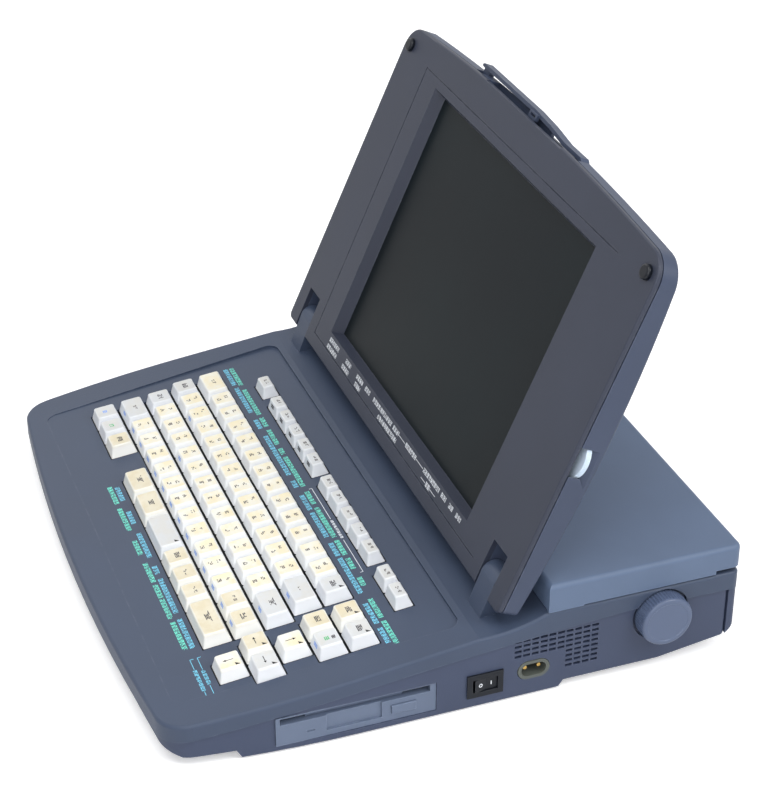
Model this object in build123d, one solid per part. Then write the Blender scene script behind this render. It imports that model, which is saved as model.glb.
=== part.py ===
from build123d import *
from math import acos, atan2, cos, hypot, pi, radians, sin, tan
import os

# Portable word processor with a raised screen lid and a printer under a rear cover.
# Millimetres. +X is the user's right, +Y the rear, +Z up. Everything is built about the middle
# of the case (x = 0), the middle of its depth (y = 0) and the table (z = 0). At the end all
# pieces move along X together, so that the row's origin is the middle of the whole footprint.

# ---- Case outline, seen from above
case_half_width = 194.0
case_front_y = -179.7
case_rear_y = 179.4
case_corner_y = -169.5
case_front_half_width = 185.5
case_side_bend_y = -60.0
case_side_mid_y = -115.0
case_side_mid_inset = 2.2
case_front_corner_radius = 20.0
case_rear_corner_radius = 5.0
case_wall = 2.5
lower_inset = 1.5

# ---- Heights of the case
foot_height = 1.5
plinth_z = foot_height
front_underside_z = 6.7
rear_underside_z = 5.7
front_wall_foot_y = -159.7
front_step_y = -130.0
plinth_front_y = -127.0
plinth_rear_y = 65.0
rear_step_y = 68.0
rear_rise_y = 129.0
rear_end_z = 12.0
lower_rear_y = 173.6
seam_front_z = 15.0
seam_mid_y = -35.0
seam_mid_z = 34.6
seam_rear_y = 110.0
seam_rear_z = 46.4
seam_end_z = 44.9
seam_start_y = -181.7
rear_deck_z = 57.2
well_front_y = 14.0
well_mid_y = 40.0
well_mid_z = 52.0
cover_front_y = 56.2
edge_round = 2.0

# ---- Keyboard plane: a plane tilted about X that passes under the key caps
deck_tilt = 6.1
deck_z_at_middle = 46.1
rim_front_height = 0.2
rim_rear_height = 2.0
field_front_margin = 29.0
field_rear_margin = 17.0
field_front_y = -160.0
field_rear_y = 10.0
field_corner_radius = 8.0

# ---- Keys
key_pitch = 19.05
key_gap = 0.7
key_base_depth = 17.6
function_key_depth = 11.6
key_top_height = 8.0
key_skirt_drop = 0.2
key_taper = 17.0
key_corner_radius = 1.6
key_edge_round = 0.5
key_wall = 1.3
key_roof = 1.8
key_travel = 2.8
stem_size = 4.4
stem_clearance = 0.15
stem_tip = 0.1
well_clearance = 0.8
row_1_s = -130.8
row_step = 19.05
function_row_s = -19.2
front_rows_left_x = -149.9
rear_rows_left_x = -154.7
function_left_x = -131.5
cursor_down_x = 151.4
cursor_left_x = 141.5
cursor_right_x = 160.6
cursor_up_x = 150.4
block_left_x = 139.3
block_right_x = 158.4
bottom_left_widths = [1, 1, 1]
bottom_gap = 1.5
bottom_widths = [1.5, 1.5, 2, 1, 1, 1, 2]
space_place = 2
lower_row_widths = [1.5] + [1] * 13
home_row_widths = [1] * 13 + [1.5]
upper_row_widths = [1] * 13 + [1.5]
number_row_widths = [1.5] + [1] * 13
function_group_gap = 0.5
function_group_size = 5
right_pair_size = 2

# ---- Keyboard frame and circuit under the keys
frame_drop = 3.4
frame_plate = 1.4
frame_rim_width = 3.0
frame_margin = 5.0
circuit_thickness = 0.8
circuit_drop = frame_drop + frame_plate + key_travel + 0.3

# ---- Lid, in its own plane: v runs up the lid from its lower edge, depth runs behind its face
lid_lean = 24.0
lid_foot_y = 25.1
lid_foot_z = 61.8
lid_side_gap = 3.5
lid_side_draft = 2.0
lid_side_height = 226.5
lid_top_height = 234.3
lid_corner_radius = 17.0
lid_foot_corner_radius = 4.0
lid_foot_depth = 13.5
lid_mid_depth = 20.0
lid_mid_v = 120.0
lid_top_depth = 12.5
lid_seam_depth = 3.5
lid_seam_width = 0.8
lid_front_round = 1.2
lid_back_wall = 2.2
lid_back_round = 1.8
hinge_v = 10.0
hinge_depth = 8.4
notch_edge_distance = 14.7
notch_width = 19.5
notch_top_v = 30.0
hump_side_gap = 1.0
hump_radius = 8.0
hump_front_reach = 16.5
hinge_pin_radius = 3.0
hinge_pin_reach = 9.0
hinge_boss_radius = 4.8
running_clearance = 0.05

# ---- Screen
screen_half_width = 123.0
screen_bottom_v = 21.5
screen_top_v = 204.7
bevel_side = 4.5
bevel_top = 4.4
bevel_bottom = 2.5
bevel_depth = 7.4
bevel_wall = 2.5
groove_half_width = 145.0
groove_bottom_v = 9.5
groove_top_v = 211.4
groove_width = 0.8
groove_depth = 0.5
window_thickness = 1.2
window_margin = 1.8
lcd_thickness = 1.6
backlight_thickness = 2.0
lcd_margin = 6.0
bumper_edge_distance = 12.7
bumper_v = 214.8
bumper_radius = 4.6
bumper_height = 3.0
bumper_round = 1.6
bumper_root = 1.2
inverter_length = 150.0
inverter_height = 11.0
inverter_thickness = 6.0
inverter_v = 5.5

# ---- Contrast wheel in the lid's right edge
wheel_radius = 14.0
wheel_proud = 2.2
wheel_v = 102.0
wheel_front_depth = 7.6
wheel_thickness = 3.4
wheel_gap = 1.0
wheel_axle_radius = 2.0
wheel_notches = 72
wheel_notch_radius = 0.25
relief_depth = 5.2
relief_sink = 2.6
relief_half_length = 9.0
relief_slant = 6.0
relief_pad = 7.0

# ---- Carrying handle on the lid's top edge
handle_centre_x = -14.0
handle_half_length = 76.0
handle_leg_x = 70.0
handle_leg_width = 8.0
handle_leg_thickness = 4.0
handle_front_depth = 7.0
handle_rear_depth = 13.0
handle_under_v = 235.5
handle_bar_height = 2.4
handle_level_end_x = -8.0
handle_bend_x = 14.0
handle_shoulder_x = 37.0
handle_bend_drop = 1.1
handle_shoulder_drop = 3.4
handle_pivot_v = 229.5
handle_pivot_depth = 10.2
handle_pin_radius = 1.2
handle_pin_reach = 9.0
handle_boss_radius = 2.6
handle_slot_gap = 0.8
handle_slot_floor_v = 226.0
hook_x = -5.6
hook_width = 10.0
hook_front_depth = 5.0
hook_drop = 3.2
hook_bar = 1.5
recess_left_x = -66.0
recess_right_x = 46.5
recess_floor_v = 222.0
recess_rear_depth = 10.9
recess_lip_v = 232.5
shoulder_floor_v = 230.0
shoulder_end_gap = 2.0

# ---- Printer cover
cover_base_z = 58.2
cover_top_z = 75.6
cover_wall = 2.4
cover_round = 3.0
cover_rear_base_z = 60.6
cover_rear_rise_y = 163.0
cover_lip_drop = 0.8
cover_lip_length = 22.0
cover_pivot_y = 171.0
cover_pivot_z = 52.0
cover_pin_radius = 2.0
cover_lug_x = 140.0
cover_lug_width = 6.0
cover_lug_radius = 3.6
cover_lug_gap = 0.4
cover_ear_width = 5.5
cover_lug_roof_y = 150.0
cover_pad_height = 0.8
paper_notch_half_width = 120.0
paper_notch_top_z = 67.0
deck_opening_margin = 22.0
pad_inner_margin = 24.0
pad_outer_margin = 14.0
deck_opening_front_y = 64.0

# ---- Drive bay, switch, inlet and vents in the right wall
bezel_front_y = -107.7
bezel_length = 96.0
bezel_base_z = 5.2
bezel_height = 19.5
bezel_face_inset = 2.1
bezel_thickness = 5.0
bezel_fit = 0.15
slot_length = 90.0
slot_height = 4.4
slot_top_drop = 0.8
slot_end = 2.4
finger_panel_front = 30.0
finger_panel_length = 33.0
finger_panel_depth = 1.2
finger_panel_base = 3.6
eject_front = 68.6
eject_length = 15.0
eject_base = 4.7
eject_height = 6.0
eject_proud = 1.2
eject_travel = 5.0
eject_gap = 0.2
lamp_front = 18.0
lamp_length = 5.0
lamp_height = 1.6
lamp_base = 5.4
door_thickness = 0.8
door_length = 58.0
door_inset = 1.2
door_hinge_drop = 0.65
door_gap = 0.3
door_pin_radius = 0.5
chassis_depth = 140.0
chassis_sheet = 1.0
chassis_clearance = 0.6
spindle_radius = 12.5
spindle_height = 5.0
head_width = 18.0
head_length = 24.0
head_height = 6.0
head_travel = 20.0
rail_radius = 1.5
rail_edge = 3.0
rail_lift = 4.0
spindle_axle_radius = 2.0
spindle_offset = 12.0
rocker_front_y = 8.4
rocker_length = 19.5
rocker_base_z = 9.8
rocker_height = 13.0
rocker_housing_depth = 22.0
rocker_flange = 1.2
rocker_flange_width = 1.4
rocker_gap = 0.3
rocker_end_gap = 0.65
rocker_pivot_inset = 3.0
rocker_pin_radius = 1.5
rocker_half_angle = 7.0
inlet_front_y = 38.7
inlet_length = 19.9
inlet_base_z = 12.6
inlet_height = 12.4
inlet_gap = 0.3
inlet_depth = 22.0
inlet_proud = 0.4
inlet_cavity_length = 15.6
inlet_cavity_height = 8.4
inlet_cavity_depth = 14.0
inlet_pin_radius = 1.2
inlet_pin_spacing = 8.6
vent_front_y = 36.3
vent_pitch = 5.4
vent_length = 4.4
vent_height = 1.8
vent_columns = 10
vent_rows = 8
vent_row_step = 3.54
vent_base_z = 15.7
vent_short_columns = 6
vent_short_rows = 4

# ---- Platen, its knob and the printer
platen_y = 129.0
platen_z = 38.0
platen_radius = 14.0
platen_end_gap = 20.0
platen_bore_reach = 4.0
platen_shaft_radius = 4.0
knob_radius = 16.4
knob_proud = 10.0
knob_seat_depth = 3.0
knob_recess_radius = 17.9
knob_recess_wall = 2.0
knob_cup_reach = 5.9
knob_ridges = 60
knob_ridge_radius = 0.35
knob_face_round = 1.2
knob_shaft_seat = 5.0
shaft_hole_radius = 5.0
frame_sheet = 2.0
frame_left_margin = 42.0
frame_right_margin = 28.0
frame_front_y = 62.0
frame_rear_y = 155.0
frame_top_z = 54.0
frame_base_drop = 1.5
rail_height = 10.4
gear_module = 0.8
gear_teeth = 48
pinion_teeth = 12
gear_width = 5.0
gear_offset = 7.5
pinion_angle = -30.0
pinion_width = 6.0
tooth_share = 0.36
motor_side = 24.0
motor_length = 22.0
motor_gap = 1.5
motor_shaft_radius = 1.5
pinch_radius = 4.0
pinch_length = 30.0
pinch_spacing = 80.0
pinch_gap = 0.35
pinch_shaft_radius = 1.5
guide_gap = 1.6
guide_sheet = 1.0
guide_start = -75.0
guide_end = 20.0
rod_y = 92.0
rod_z = 34.0
rod_radius = 4.0
carriage_length = 50.0
carriage_front_y = 71.0
carriage_rear_y = 104.0
carriage_top_z = 46.0
carriage_rail_gap = 0.2
carriage_end_gap = 19.0
carriage_far_gap = 45.0
head_face_gap = 0.4
head_face_height = 10.0
head_face_width = 12.0
cassette_height = 8.0
cassette_length = 46.0
pulley_radius = 6.0
pulley_height = 4.6
pulley_base_z = 17.0
pulley_y = 77.0
pulley_right_inset = 14.0
pulley_left_inset = 12.0
idler_axle_radius = 2.0
belt_thickness = 0.8
belt_gap = 0.2
belt_height = 3.6
drive_motor_radius = 10.0
drive_motor_height = 22.0
drive_motor_gap = 1.0
post_radius = 3.0

# ---- Boards, supply, feet and screws
board_thickness = 1.6
board_lift = 4.0
main_board_margin = 24.0
board_spacing = 22.0
main_board_front_y = -118.0
main_board_rear_y = 48.0
chip_height = 3.2
chip_size = 24.0
chip_spacing = 50.0
chip_y = -48.0
supply_margin = 36.0
supply_length = 98.0
supply_front_y = 2.0
supply_rear_y = 56.0
transformer_length = 44.0
transformer_width = 36.0
transformer_height = 28.0
foot_radius = 7.0
foot_recess = 1.0
foot_margin = 44.0
foot_front_y = -108.0
foot_rear_y = 122.0
column_radius = 4.0
column_split_z = 20.0
screw_radius = 1.5
screw_head_radius = 3.0
screw_head_height = 2.0
screw_reach = 7.0
column_margin = 13.0
rear_column_margin = 16.0
left_column_ys = [-100.0, 20.0, 100.0]
right_column_ys = [-122.0, 2.0]
rear_column_y = 100.0

# ---- Sizes that follow from the ones above
deck_normal = (0, -sin(radians(deck_tilt)), cos(radians(deck_tilt)))
deck_plane = Plane(origin=(0, 0, deck_z_at_middle), x_dir=(1, 0, 0), z_dir=deck_normal)
lid_normal = (0, -cos(radians(lid_lean)), sin(radians(lid_lean)))
lid_plane = Plane(origin=(0, lid_foot_y, lid_foot_z), x_dir=(1, 0, 0), z_dir=lid_normal)
plinth_floor_z = plinth_z + case_wall
lower_half_width = case_half_width - lower_inset
field_front_half_width = case_half_width - field_front_margin
field_rear_half_width = case_half_width - field_rear_margin
deck_opening_half_width = case_half_width - deck_opening_margin
column_x = case_half_width - column_margin
column_places = [(-column_x, y) for y in left_column_ys]
column_places += [(column_x - 1, y) for y in right_column_ys]
column_places += [(case_half_width - rear_column_margin, rear_column_y)]
foot_x = case_half_width - foot_margin
bezel_face_x = case_half_width - bezel_face_inset
lid_foot_half_width = case_half_width - lid_side_gap
lid_top_half_width = lid_foot_half_width - lid_side_draft
notch_outer_x = lid_foot_half_width - notch_edge_distance
notch_inner_x = notch_outer_x - notch_width
bumper_x = lid_foot_half_width - bumper_edge_distance
shoulder_right_x = handle_centre_x + handle_half_length + shoulder_end_gap
supply_right_x = case_half_width - supply_margin
supply_left_x = supply_right_x - supply_length
main_board_left_x = main_board_margin - case_half_width
main_board_right_x = supply_left_x - board_spacing
frame_left_x = frame_left_margin - case_half_width
frame_right_x = case_half_width - frame_right_margin
platen_half_length = frame_right_x - platen_end_gap
gear_x = frame_left_x - gear_offset
pulley_right_x = frame_right_x - pulley_right_inset
pulley_left_x = frame_left_x + pulley_left_inset
carriage_start_x = pulley_left_x + carriage_end_gap
carriage_travel = pulley_right_x - carriage_far_gap - carriage_start_x
hump_inner_x = notch_inner_x + hump_side_gap
hump_outer_x = notch_outer_x - hump_side_gap
gear_radius = gear_module * gear_teeth / 2
pinion_radius = gear_module * pinion_teeth / 2
pinion_y = platen_y + (gear_radius + pinion_radius) * cos(radians(pinion_angle))
pinion_z = platen_z + (gear_radius + pinion_radius) * sin(radians(pinion_angle))
frame_base_z = pinion_z - motor_side / 2
pinch_z = platen_z - platen_radius - pinch_gap - pinch_radius
knob_face_x = lower_half_width + knob_proud
footprint_shift = -(knob_face_x - case_half_width) / 2


def block(x0, x1, y0, y1, z0, z1):
    """Box between two limits on each axis."""
    middle = Pos((x0 + x1) / 2, (y0 + y1) / 2, (z0 + z1) / 2)
    return middle * Box(abs(x1 - x0), abs(y1 - y0), abs(z1 - z0))


def rod_along_x(x0, x1, y, z, radius):
    """Cylinder along X."""
    turn = Pos((x0 + x1) / 2, y, z) * Rot(0, 90, 0)
    return turn * Cylinder(radius, abs(x1 - x0))


def post(x, y, z0, z1, radius):
    """Upright cylinder."""
    return Pos(x, y, (z0 + z1) / 2) * Cylinder(radius, z1 - z0)


def side_profile(face, half_length):
    """A face drawn in Y and Z, extruded both ways along X."""
    return extrude(Plane.YZ * face, amount=half_length, both=True)


def mirrored(shape):
    """The same shape on both sides of x = 0."""
    return shape + mirror(shape, about=Plane.YZ)


def deck_z(y):
    """Height of the keyboard plane at y."""
    return deck_z_at_middle + y * tan(radians(deck_tilt))


def lid_point(v, depth):
    """Y and Z of a point on the lid, v up its face and depth behind it."""
    y = lid_foot_y + v * sin(radians(lid_lean)) + depth * cos(radians(lid_lean))
    z = lid_foot_z + v * cos(radians(lid_lean)) - depth * sin(radians(lid_lean))
    return y, z


# ---- Case

def plan(inset, rear_y):
    """Outline of the case from above, moved in by inset."""
    side = case_half_width - inset
    front_side = case_front_half_width - inset
    corner_y = case_corner_y + inset
    mid_side = side - case_side_mid_inset
    bend_y = case_side_bend_y
    mid_y = case_side_mid_y
    rear = Line((-side, rear_y), (side, rear_y))
    right = Line((side, rear_y), (side, bend_y))
    right_bend = ThreePointArc((side, bend_y), (mid_side, mid_y), (front_side, corner_y))
    front = ThreePointArc((front_side, corner_y), (0, case_front_y + inset), (-front_side, corner_y))
    left_bend = ThreePointArc((-front_side, corner_y), (-mid_side, mid_y), (-side, bend_y))
    left = Line((-side, bend_y), (-side, rear_y))
    face = make_face([rear, right, right_bend, front, left_bend, left])
    corners = face.vertices().sort_by(Axis.Y)
    front_radius = max(case_front_corner_radius - inset, 1.0)
    rear_radius = max(case_rear_corner_radius - inset, 1.0)
    face = fillet(corners[:2], front_radius)
    return fillet(face.vertices().sort_by(Axis.Y)[-2:], rear_radius)


def seam_edges(rear_y):
    """The line where the upper and lower case meet, from front to rear."""
    start = (seam_start_y, seam_front_z)
    top = (seam_rear_y, seam_rear_z)
    return [ThreePointArc(start, (seam_mid_y, seam_mid_z), top), Line(top, (rear_y, seam_end_z))]


def underside_points(wall):
    """Points of the lower case's underside from front to rear, raised by wall."""
    foot = (front_wall_foot_y + wall, front_underside_z + wall)
    front_step = (front_step_y + wall, front_underside_z + wall)
    plinth_front = (plinth_front_y + wall, plinth_z + wall)
    plinth_rear = (plinth_rear_y - wall, plinth_z + wall)
    rear_step = (rear_step_y - wall, rear_underside_z + wall)
    rise = (rear_rise_y, rear_underside_z + wall)
    end = (lower_rear_y, rear_end_z + wall)
    return [foot, front_step, plinth_front, plinth_rear, rear_step, rise, end]


def lower_outside():
    """Lower case as a full block."""
    seam = seam_edges(lower_rear_y)
    below = Polyline((seam_start_y, seam_front_z), *underside_points(0), (lower_rear_y, seam_end_z))
    profile = side_profile(make_face([*seam, below]), case_half_width)
    return extrude(plan(lower_inset, lower_rear_y), amount=2 * rear_deck_z) & profile


def lower_inside():
    """The space in the lower case, open at the top and the rear."""
    front_top = (seam_start_y + case_wall, seam_front_z)
    above = 2 * rear_deck_z
    points = [front_top, *underside_points(case_wall), (case_rear_y, rear_end_z + case_wall)]
    line = Polyline(*points, (case_rear_y, above), (seam_start_y + case_wall, above), close=True)
    profile = side_profile(make_face(line), case_half_width)
    return extrude(plan(lower_inset + case_wall, case_rear_y), amount=above) & profile


def knob_cup(radius, inner_x):
    """Round cup around the platen shaft in the right wall."""
    return rod_along_x(inner_x, case_half_width + 1, platen_y, platen_z, radius)


def right_wall_cutouts():
    """Openings for the drive, the switch, the inlet and the air vents."""
    deep = lower_half_width - 12
    out = case_half_width + 2
    bezel_rear_y = bezel_front_y + bezel_length
    bezel_top_z = bezel_base_z + bezel_height
    cuts = block(
        deep, out, bezel_front_y - bezel_fit, bezel_rear_y + bezel_fit,
        bezel_base_z - bezel_fit, bezel_top_z + bezel_fit,
    )
    cuts += block(
        deep, out, rocker_front_y, rocker_front_y + rocker_length,
        rocker_base_z, rocker_base_z + rocker_height,
    )
    y, z = inlet_centre()
    cuts += Pos(deep, y, z) * extrude(
        Plane.YZ * SlotOverall(inlet_length + 2 * inlet_gap, inlet_height + 2 * inlet_gap), amount=out - deep,
    )
    dashes = Sketch()
    for column in range(vent_columns):
        rows = vent_short_rows if column < vent_short_columns else vent_rows
        for row in range(vent_rows - rows, vent_rows):
            y = vent_front_y + vent_pitch * column + vent_length / 2
            z = vent_base_z + vent_row_step * row
            dashes += Pos(y, z) * Rectangle(vent_length, vent_height)
    return cuts + extrude(Pos(deep, 0, 0) * (Plane.YZ * dashes), amount=out - deep)


def standing_posts():
    """Posts and ribs on the floor that carry the boards, the drive and the printer."""
    board_z = plinth_floor_z + board_lift
    posts = Part()
    edge = post_radius + 2
    for x in (main_board_left_x + edge, main_board_right_x - edge):
        for y in (main_board_front_y + edge, main_board_rear_y - edge):
            posts += post(x, y, plinth_z + 1, board_z, post_radius)
    for x in (supply_left_x + edge, supply_right_x - edge):
        for y in (supply_front_y + edge, supply_rear_y - edge):
            posts += post(x, y, plinth_z + 1, board_z, post_radius)
    rib_top = bezel_base_z + chassis_clearance
    rear_x = bezel_face_x - bezel_thickness - chassis_depth
    for y in (bezel_front_y + 12, bezel_front_y + bezel_length - 14):
        posts += block(rear_x + 4, bezel_face_x - 14, y, y + 2, plinth_z + 1, rib_top)
    sheet_base = frame_base_z - frame_base_drop
    for x in (frame_left_x + 12, 0, frame_right_x - 12):
        for y in (frame_front_y + 12, frame_rear_y - 42):
            posts += post(x, y, plinth_z + 4.5, sheet_base, post_radius)
    return posts


def column_underside(y):
    """Height of the case's underside at a screw column."""
    return plinth_z if y < plinth_rear_y else rear_underside_z


def lower_case():
    body = lower_outside() - lower_inside()
    cup_radius = knob_recess_radius + knob_recess_wall
    body += knob_cup(cup_radius, lower_half_width - knob_cup_reach) & lower_outside()
    body -= knob_cup(knob_recess_radius, lower_half_width - knob_seat_depth)
    body -= rod_along_x(frame_right_x + 5, case_half_width + 1, platen_y, platen_z, shaft_hole_radius)
    body -= right_wall_cutouts()
    body += standing_posts()
    for x, y in column_places:
        body += post(x, y, column_underside(y), column_split_z, column_radius)
    for x, y in column_places:
        base = column_underside(y)
        body -= post(x, y, base - 1, base + screw_head_height + 0.3, screw_head_radius + 0.4)
        body -= post(x, y, base, column_split_z + 1, screw_radius + 0.2)
    for x in (-foot_x, foot_x):
        body -= post(x, foot_front_y, plinth_z - 1, plinth_z + foot_recess, foot_radius + 0.2)
        body -= post(x, foot_rear_y, rear_underside_z - 1, rear_underside_z + foot_recess, foot_radius + 0.2)
    return body


def top_profile(drop):
    """Side view of the upper case: sloping rims, the hollow behind the lid and the rear deck."""
    start = (seam_start_y, deck_z(seam_start_y) + rim_front_height - drop)
    well_start = (well_front_y, deck_z(well_front_y) + rim_rear_height - drop)
    well_end = (cover_front_y, rear_deck_z - drop)
    rim = Line(start, well_start)
    well = ThreePointArc(well_start, (well_mid_y, well_mid_z - drop), well_end)
    deck = Line(well_end, (case_rear_y + 1, rear_deck_z - drop))
    return [rim, well, deck], start


def upper_block(inset, drop, low):
    """The upper case's space below its top, with walls moved in by inset, down to the seam or lower."""
    top, start = top_profile(drop)
    end = (case_rear_y + 1, rear_deck_z - drop)
    if low:
        under = [Polyline(end, (end[0], 0), (start[0], 0), start)]
    else:
        rear = Line(end, (case_rear_y + 1, seam_end_z))
        under = [*seam_edges(case_rear_y + 1), rear, Line(start, (seam_start_y, seam_front_z))]
    profile = side_profile(make_face([*top, *under]), case_half_width)
    return extrude(plan(inset, case_rear_y - inset), amount=2 * rear_deck_z) & profile


def key_places():
    """Every key group: node name, and for each cap its middle, width and depth in the deck plane."""
    groups = {}

    def row(name, left_x, index, widths):
        caps = []
        x = left_x
        middle_s = row_1_s + row_step * index + key_base_depth / 2
        for width in widths:
            size = width * key_pitch
            caps.append((x + size / 2, middle_s, size - key_gap, key_base_depth))
            x += size
        groups[name] = groups.get(name, []) + caps
        return x

    left_end = row("keys_bottom_left", front_rows_left_x, 0, bottom_left_widths)
    main_x = left_end + bottom_gap * key_pitch
    row("keys_bottom_row", main_x, 0, bottom_widths)
    groups["key_space"] = [groups["keys_bottom_row"].pop(space_place)]
    row("keys_lower_row", front_rows_left_x, 1, lower_row_widths)
    row("keys_home_row", front_rows_left_x, 2, home_row_widths)
    row("keys_upper_row", rear_rows_left_x, 3, upper_row_widths)
    row("keys_number_row", rear_rows_left_x, 4, number_row_widths)

    function_s = function_row_s + function_key_depth / 2
    width = key_pitch - key_gap
    x = function_left_x + key_pitch / 2
    layout = [("keys_function", 1), ("keys_function", function_group_size)]
    layout += [("keys_function", function_group_size), ("keys_right_pair", right_pair_size)]
    for name, count in layout:
        for _ in range(count):
            groups.setdefault(name, []).append((x, function_s, width, function_key_depth))
            x += key_pitch
        x += function_group_gap * key_pitch

    def single(x, index):
        return (x, row_1_s + row_step * index + key_base_depth / 2, width, key_base_depth)

    groups["keys_cursor"] = [
        single(cursor_down_x, 0), single(cursor_left_x, 1), single(cursor_right_x, 1), single(cursor_up_x, 2),
    ]
    groups["keys_edit_block"] = [single(x, index) for index in (3, 4) for x in (block_left_x, block_right_x)]
    return groups


def key_well_sketch():
    """Openings in the upper case around the keys."""
    wells = Sketch()
    for caps in key_places().values():
        for x, s, width, depth in caps:
            wells += Pos(x, s) * Rectangle(width + 2 * well_clearance, depth + 2 * well_clearance)
    return wells


def sunken_field():
    """Shallow field between the rims that the keys stand in."""
    line = Polyline(
        (-field_front_half_width, field_front_y), (field_front_half_width, field_front_y),
        (field_rear_half_width, field_rear_y), (-field_rear_half_width, field_rear_y), close=True,
    )
    face = make_face(line)
    face = fillet(face.vertices(), field_corner_radius)
    return extrude(deck_plane * face, amount=10)


def hinge_humps():
    """Two upright knuckles that stand in the notches of the lid."""
    y, z = lid_point(hinge_v, hinge_depth)
    toe_y = y - hump_front_reach
    toe_z = deck_z(toe_y) - 1
    toe_angle = atan2(toe_z - z, toe_y - y) + 2 * pi
    touch = toe_angle - acos(hump_radius / hypot(toe_y - y, toe_z - z))
    side = Polyline(
        (toe_y, toe_z), (y + hump_radius * cos(touch), z + hump_radius * sin(touch)), (y, z),
        (y + hump_radius, z), (y + hump_radius, toe_z), close=True,
    )
    hump = extrude(Pos(hump_inner_x, 0, 0) * (Plane.YZ * make_face(side)), amount=hump_outer_x - hump_inner_x)
    hump += rod_along_x(hump_inner_x, hump_outer_x, y, z, hump_radius)
    return mirrored(hump)


def hinge_bores():
    y, z = lid_point(hinge_v, hinge_depth)
    bore = rod_along_x(hump_inner_x - 1, hump_outer_x + 1, y, z, hinge_pin_radius + running_clearance)
    return mirrored(bore)


def cover_ears():
    """Ears on the rear wall that hold the cover's pins."""
    start = cover_lug_x + cover_lug_width + cover_lug_gap
    rear = case_rear_y - case_wall + 0.5
    ear = block(start, start + cover_ear_width, cover_pivot_y, rear, cover_pivot_z - 4, cover_pivot_z + 4)
    ear += rod_along_x(start, start + cover_ear_width, cover_pivot_y, cover_pivot_z, 4)
    ear -= rod_along_x(start - 1, start + 7, cover_pivot_y, cover_pivot_z, cover_pin_radius + 0.02)
    return mirrored(ear)


def rim_edges(body):
    """Edges where the top meets the upright walls."""
    steepness = [(face, abs(face.normal_at(face.center()).Z)) for face in body.faces()]
    top = [edge for face, rise in steepness if rise > 0.5 for edge in face.edges()]
    wall = [edge for face, rise in steepness if rise < 0.5 for edge in face.edges()]
    seam = [edge for face in body.faces() if face.normal_at(face.center()).Z < -0.5 for edge in face.edges()]
    return [edge for edge in body.edges() if edge in top and edge in wall and edge not in seam]


def upper_case():
    outside = upper_block(0, 0, False)
    outside = fillet(rim_edges(outside), edge_round)
    body = outside - upper_block(case_wall, case_wall, True)
    columns = Part()
    for x, y in column_places:
        columns += post(x, y, column_split_z, rear_deck_z, column_radius)
    columns &= upper_block(1, 1, True)
    cup = knob_cup(knob_recess_radius + knob_recess_wall, lower_half_width - knob_cup_reach)
    cup &= upper_block(1, 1, False)
    body = body + columns + cup
    body -= sunken_field()
    body -= extrude(deck_plane * key_well_sketch(), amount=20, both=True)
    body -= block(
        -deck_opening_half_width, deck_opening_half_width, deck_opening_front_y, case_rear_y - case_wall,
        rear_deck_z - 10, rear_deck_z + 10,
    )
    body -= knob_cup(knob_recess_radius, lower_half_width - knob_seat_depth)
    body -= rod_along_x(frame_right_x + 5, case_half_width + 1, platen_y, platen_z, shaft_hole_radius)
    body = body + hinge_humps() - hinge_bores() + cover_ears()
    pad_y = cover_front_y + 3
    body += mirrored(block(
        case_half_width - pad_inner_margin, case_half_width - pad_outer_margin, pad_y, pad_y + 4,
        rear_deck_z - 1, rear_deck_z + cover_pad_height,
    ))
    for x, y in column_places:
        body -= post(x, y, column_split_z - 1, column_split_z + screw_reach + 1, screw_radius)
    return body


def rear_panel():
    """Panel across the rear of the lower case with short returns round its corners."""
    outline = extrude(plan(lower_inset, case_rear_y), amount=seam_end_z)
    hollow = extrude(plan(lower_inset + case_wall, case_rear_y - case_wall), amount=seam_end_z)
    below = Polyline(
        (lower_rear_y, rear_end_z), (case_rear_y, rear_end_z + 6),
        (case_rear_y, seam_end_z), (lower_rear_y, seam_end_z), close=True,
    )
    above_floor = Polyline(
        (lower_rear_y, rear_end_z + case_wall), (case_rear_y, rear_end_z + case_wall + 6),
        (case_rear_y, rear_deck_z), (lower_rear_y, rear_deck_z), close=True,
    )
    shell = outline & side_profile(make_face(below), case_half_width)
    return shell - (hollow & side_profile(make_face(above_floor), case_half_width))


def case_screws():
    screws = Part()
    for x, y in column_places:
        base = column_underside(y) + 0.3
        screw = post(x, y, base, base + screw_head_height, screw_head_radius)
        screw += post(x, y, base + 1, column_split_z + screw_reach, screw_radius)
        screws += screw
    return screws


def rubber_feet():
    feet = Part()
    for x in (-foot_x, foot_x):
        feet += post(x, foot_front_y, 0, plinth_z + foot_recess, foot_radius)
        feet += post(x, foot_rear_y, 0, rear_underside_z + foot_recess, foot_radius)
    return feet


# ---- Keys, keyboard frame and circuit

def key_cap(width, depth):
    """Tapered hollow cap with a square stem, its skirt just below the deck plane."""
    height = key_top_height + key_skirt_drop
    base = RectangleRounded(width, depth, key_corner_radius)
    cap = extrude(base, amount=height, taper=key_taper)
    cap = fillet(cap.faces().sort_by(Axis.Z)[-1].edges(), key_edge_round)
    inside = RectangleRounded(width - 2 * key_wall, depth - 2 * key_wall, key_corner_radius / 2)
    cap -= extrude(inside, amount=height - key_roof, taper=key_taper)
    stem_low = -(frame_drop + frame_plate - key_skirt_drop + stem_tip)
    half = stem_size / 2
    return cap + block(-half, half, -half, half, stem_low, height - key_roof + 0.5)


def key_nodes():
    """All key groups, each a compound of separate caps."""
    made = {}
    nodes = {}
    for name, caps in key_places().items():
        solids = []
        for x, s, width, depth in caps:
            size = (round(width, 3), round(depth, 3))
            if size not in made:
                made[size] = key_cap(width, depth)
            solids.append(deck_plane.location * Pos(x, s, -key_skirt_drop) * made[size])
        nodes[name] = Compound(solids) if len(solids) > 1 else solids[0]
    return nodes


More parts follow.
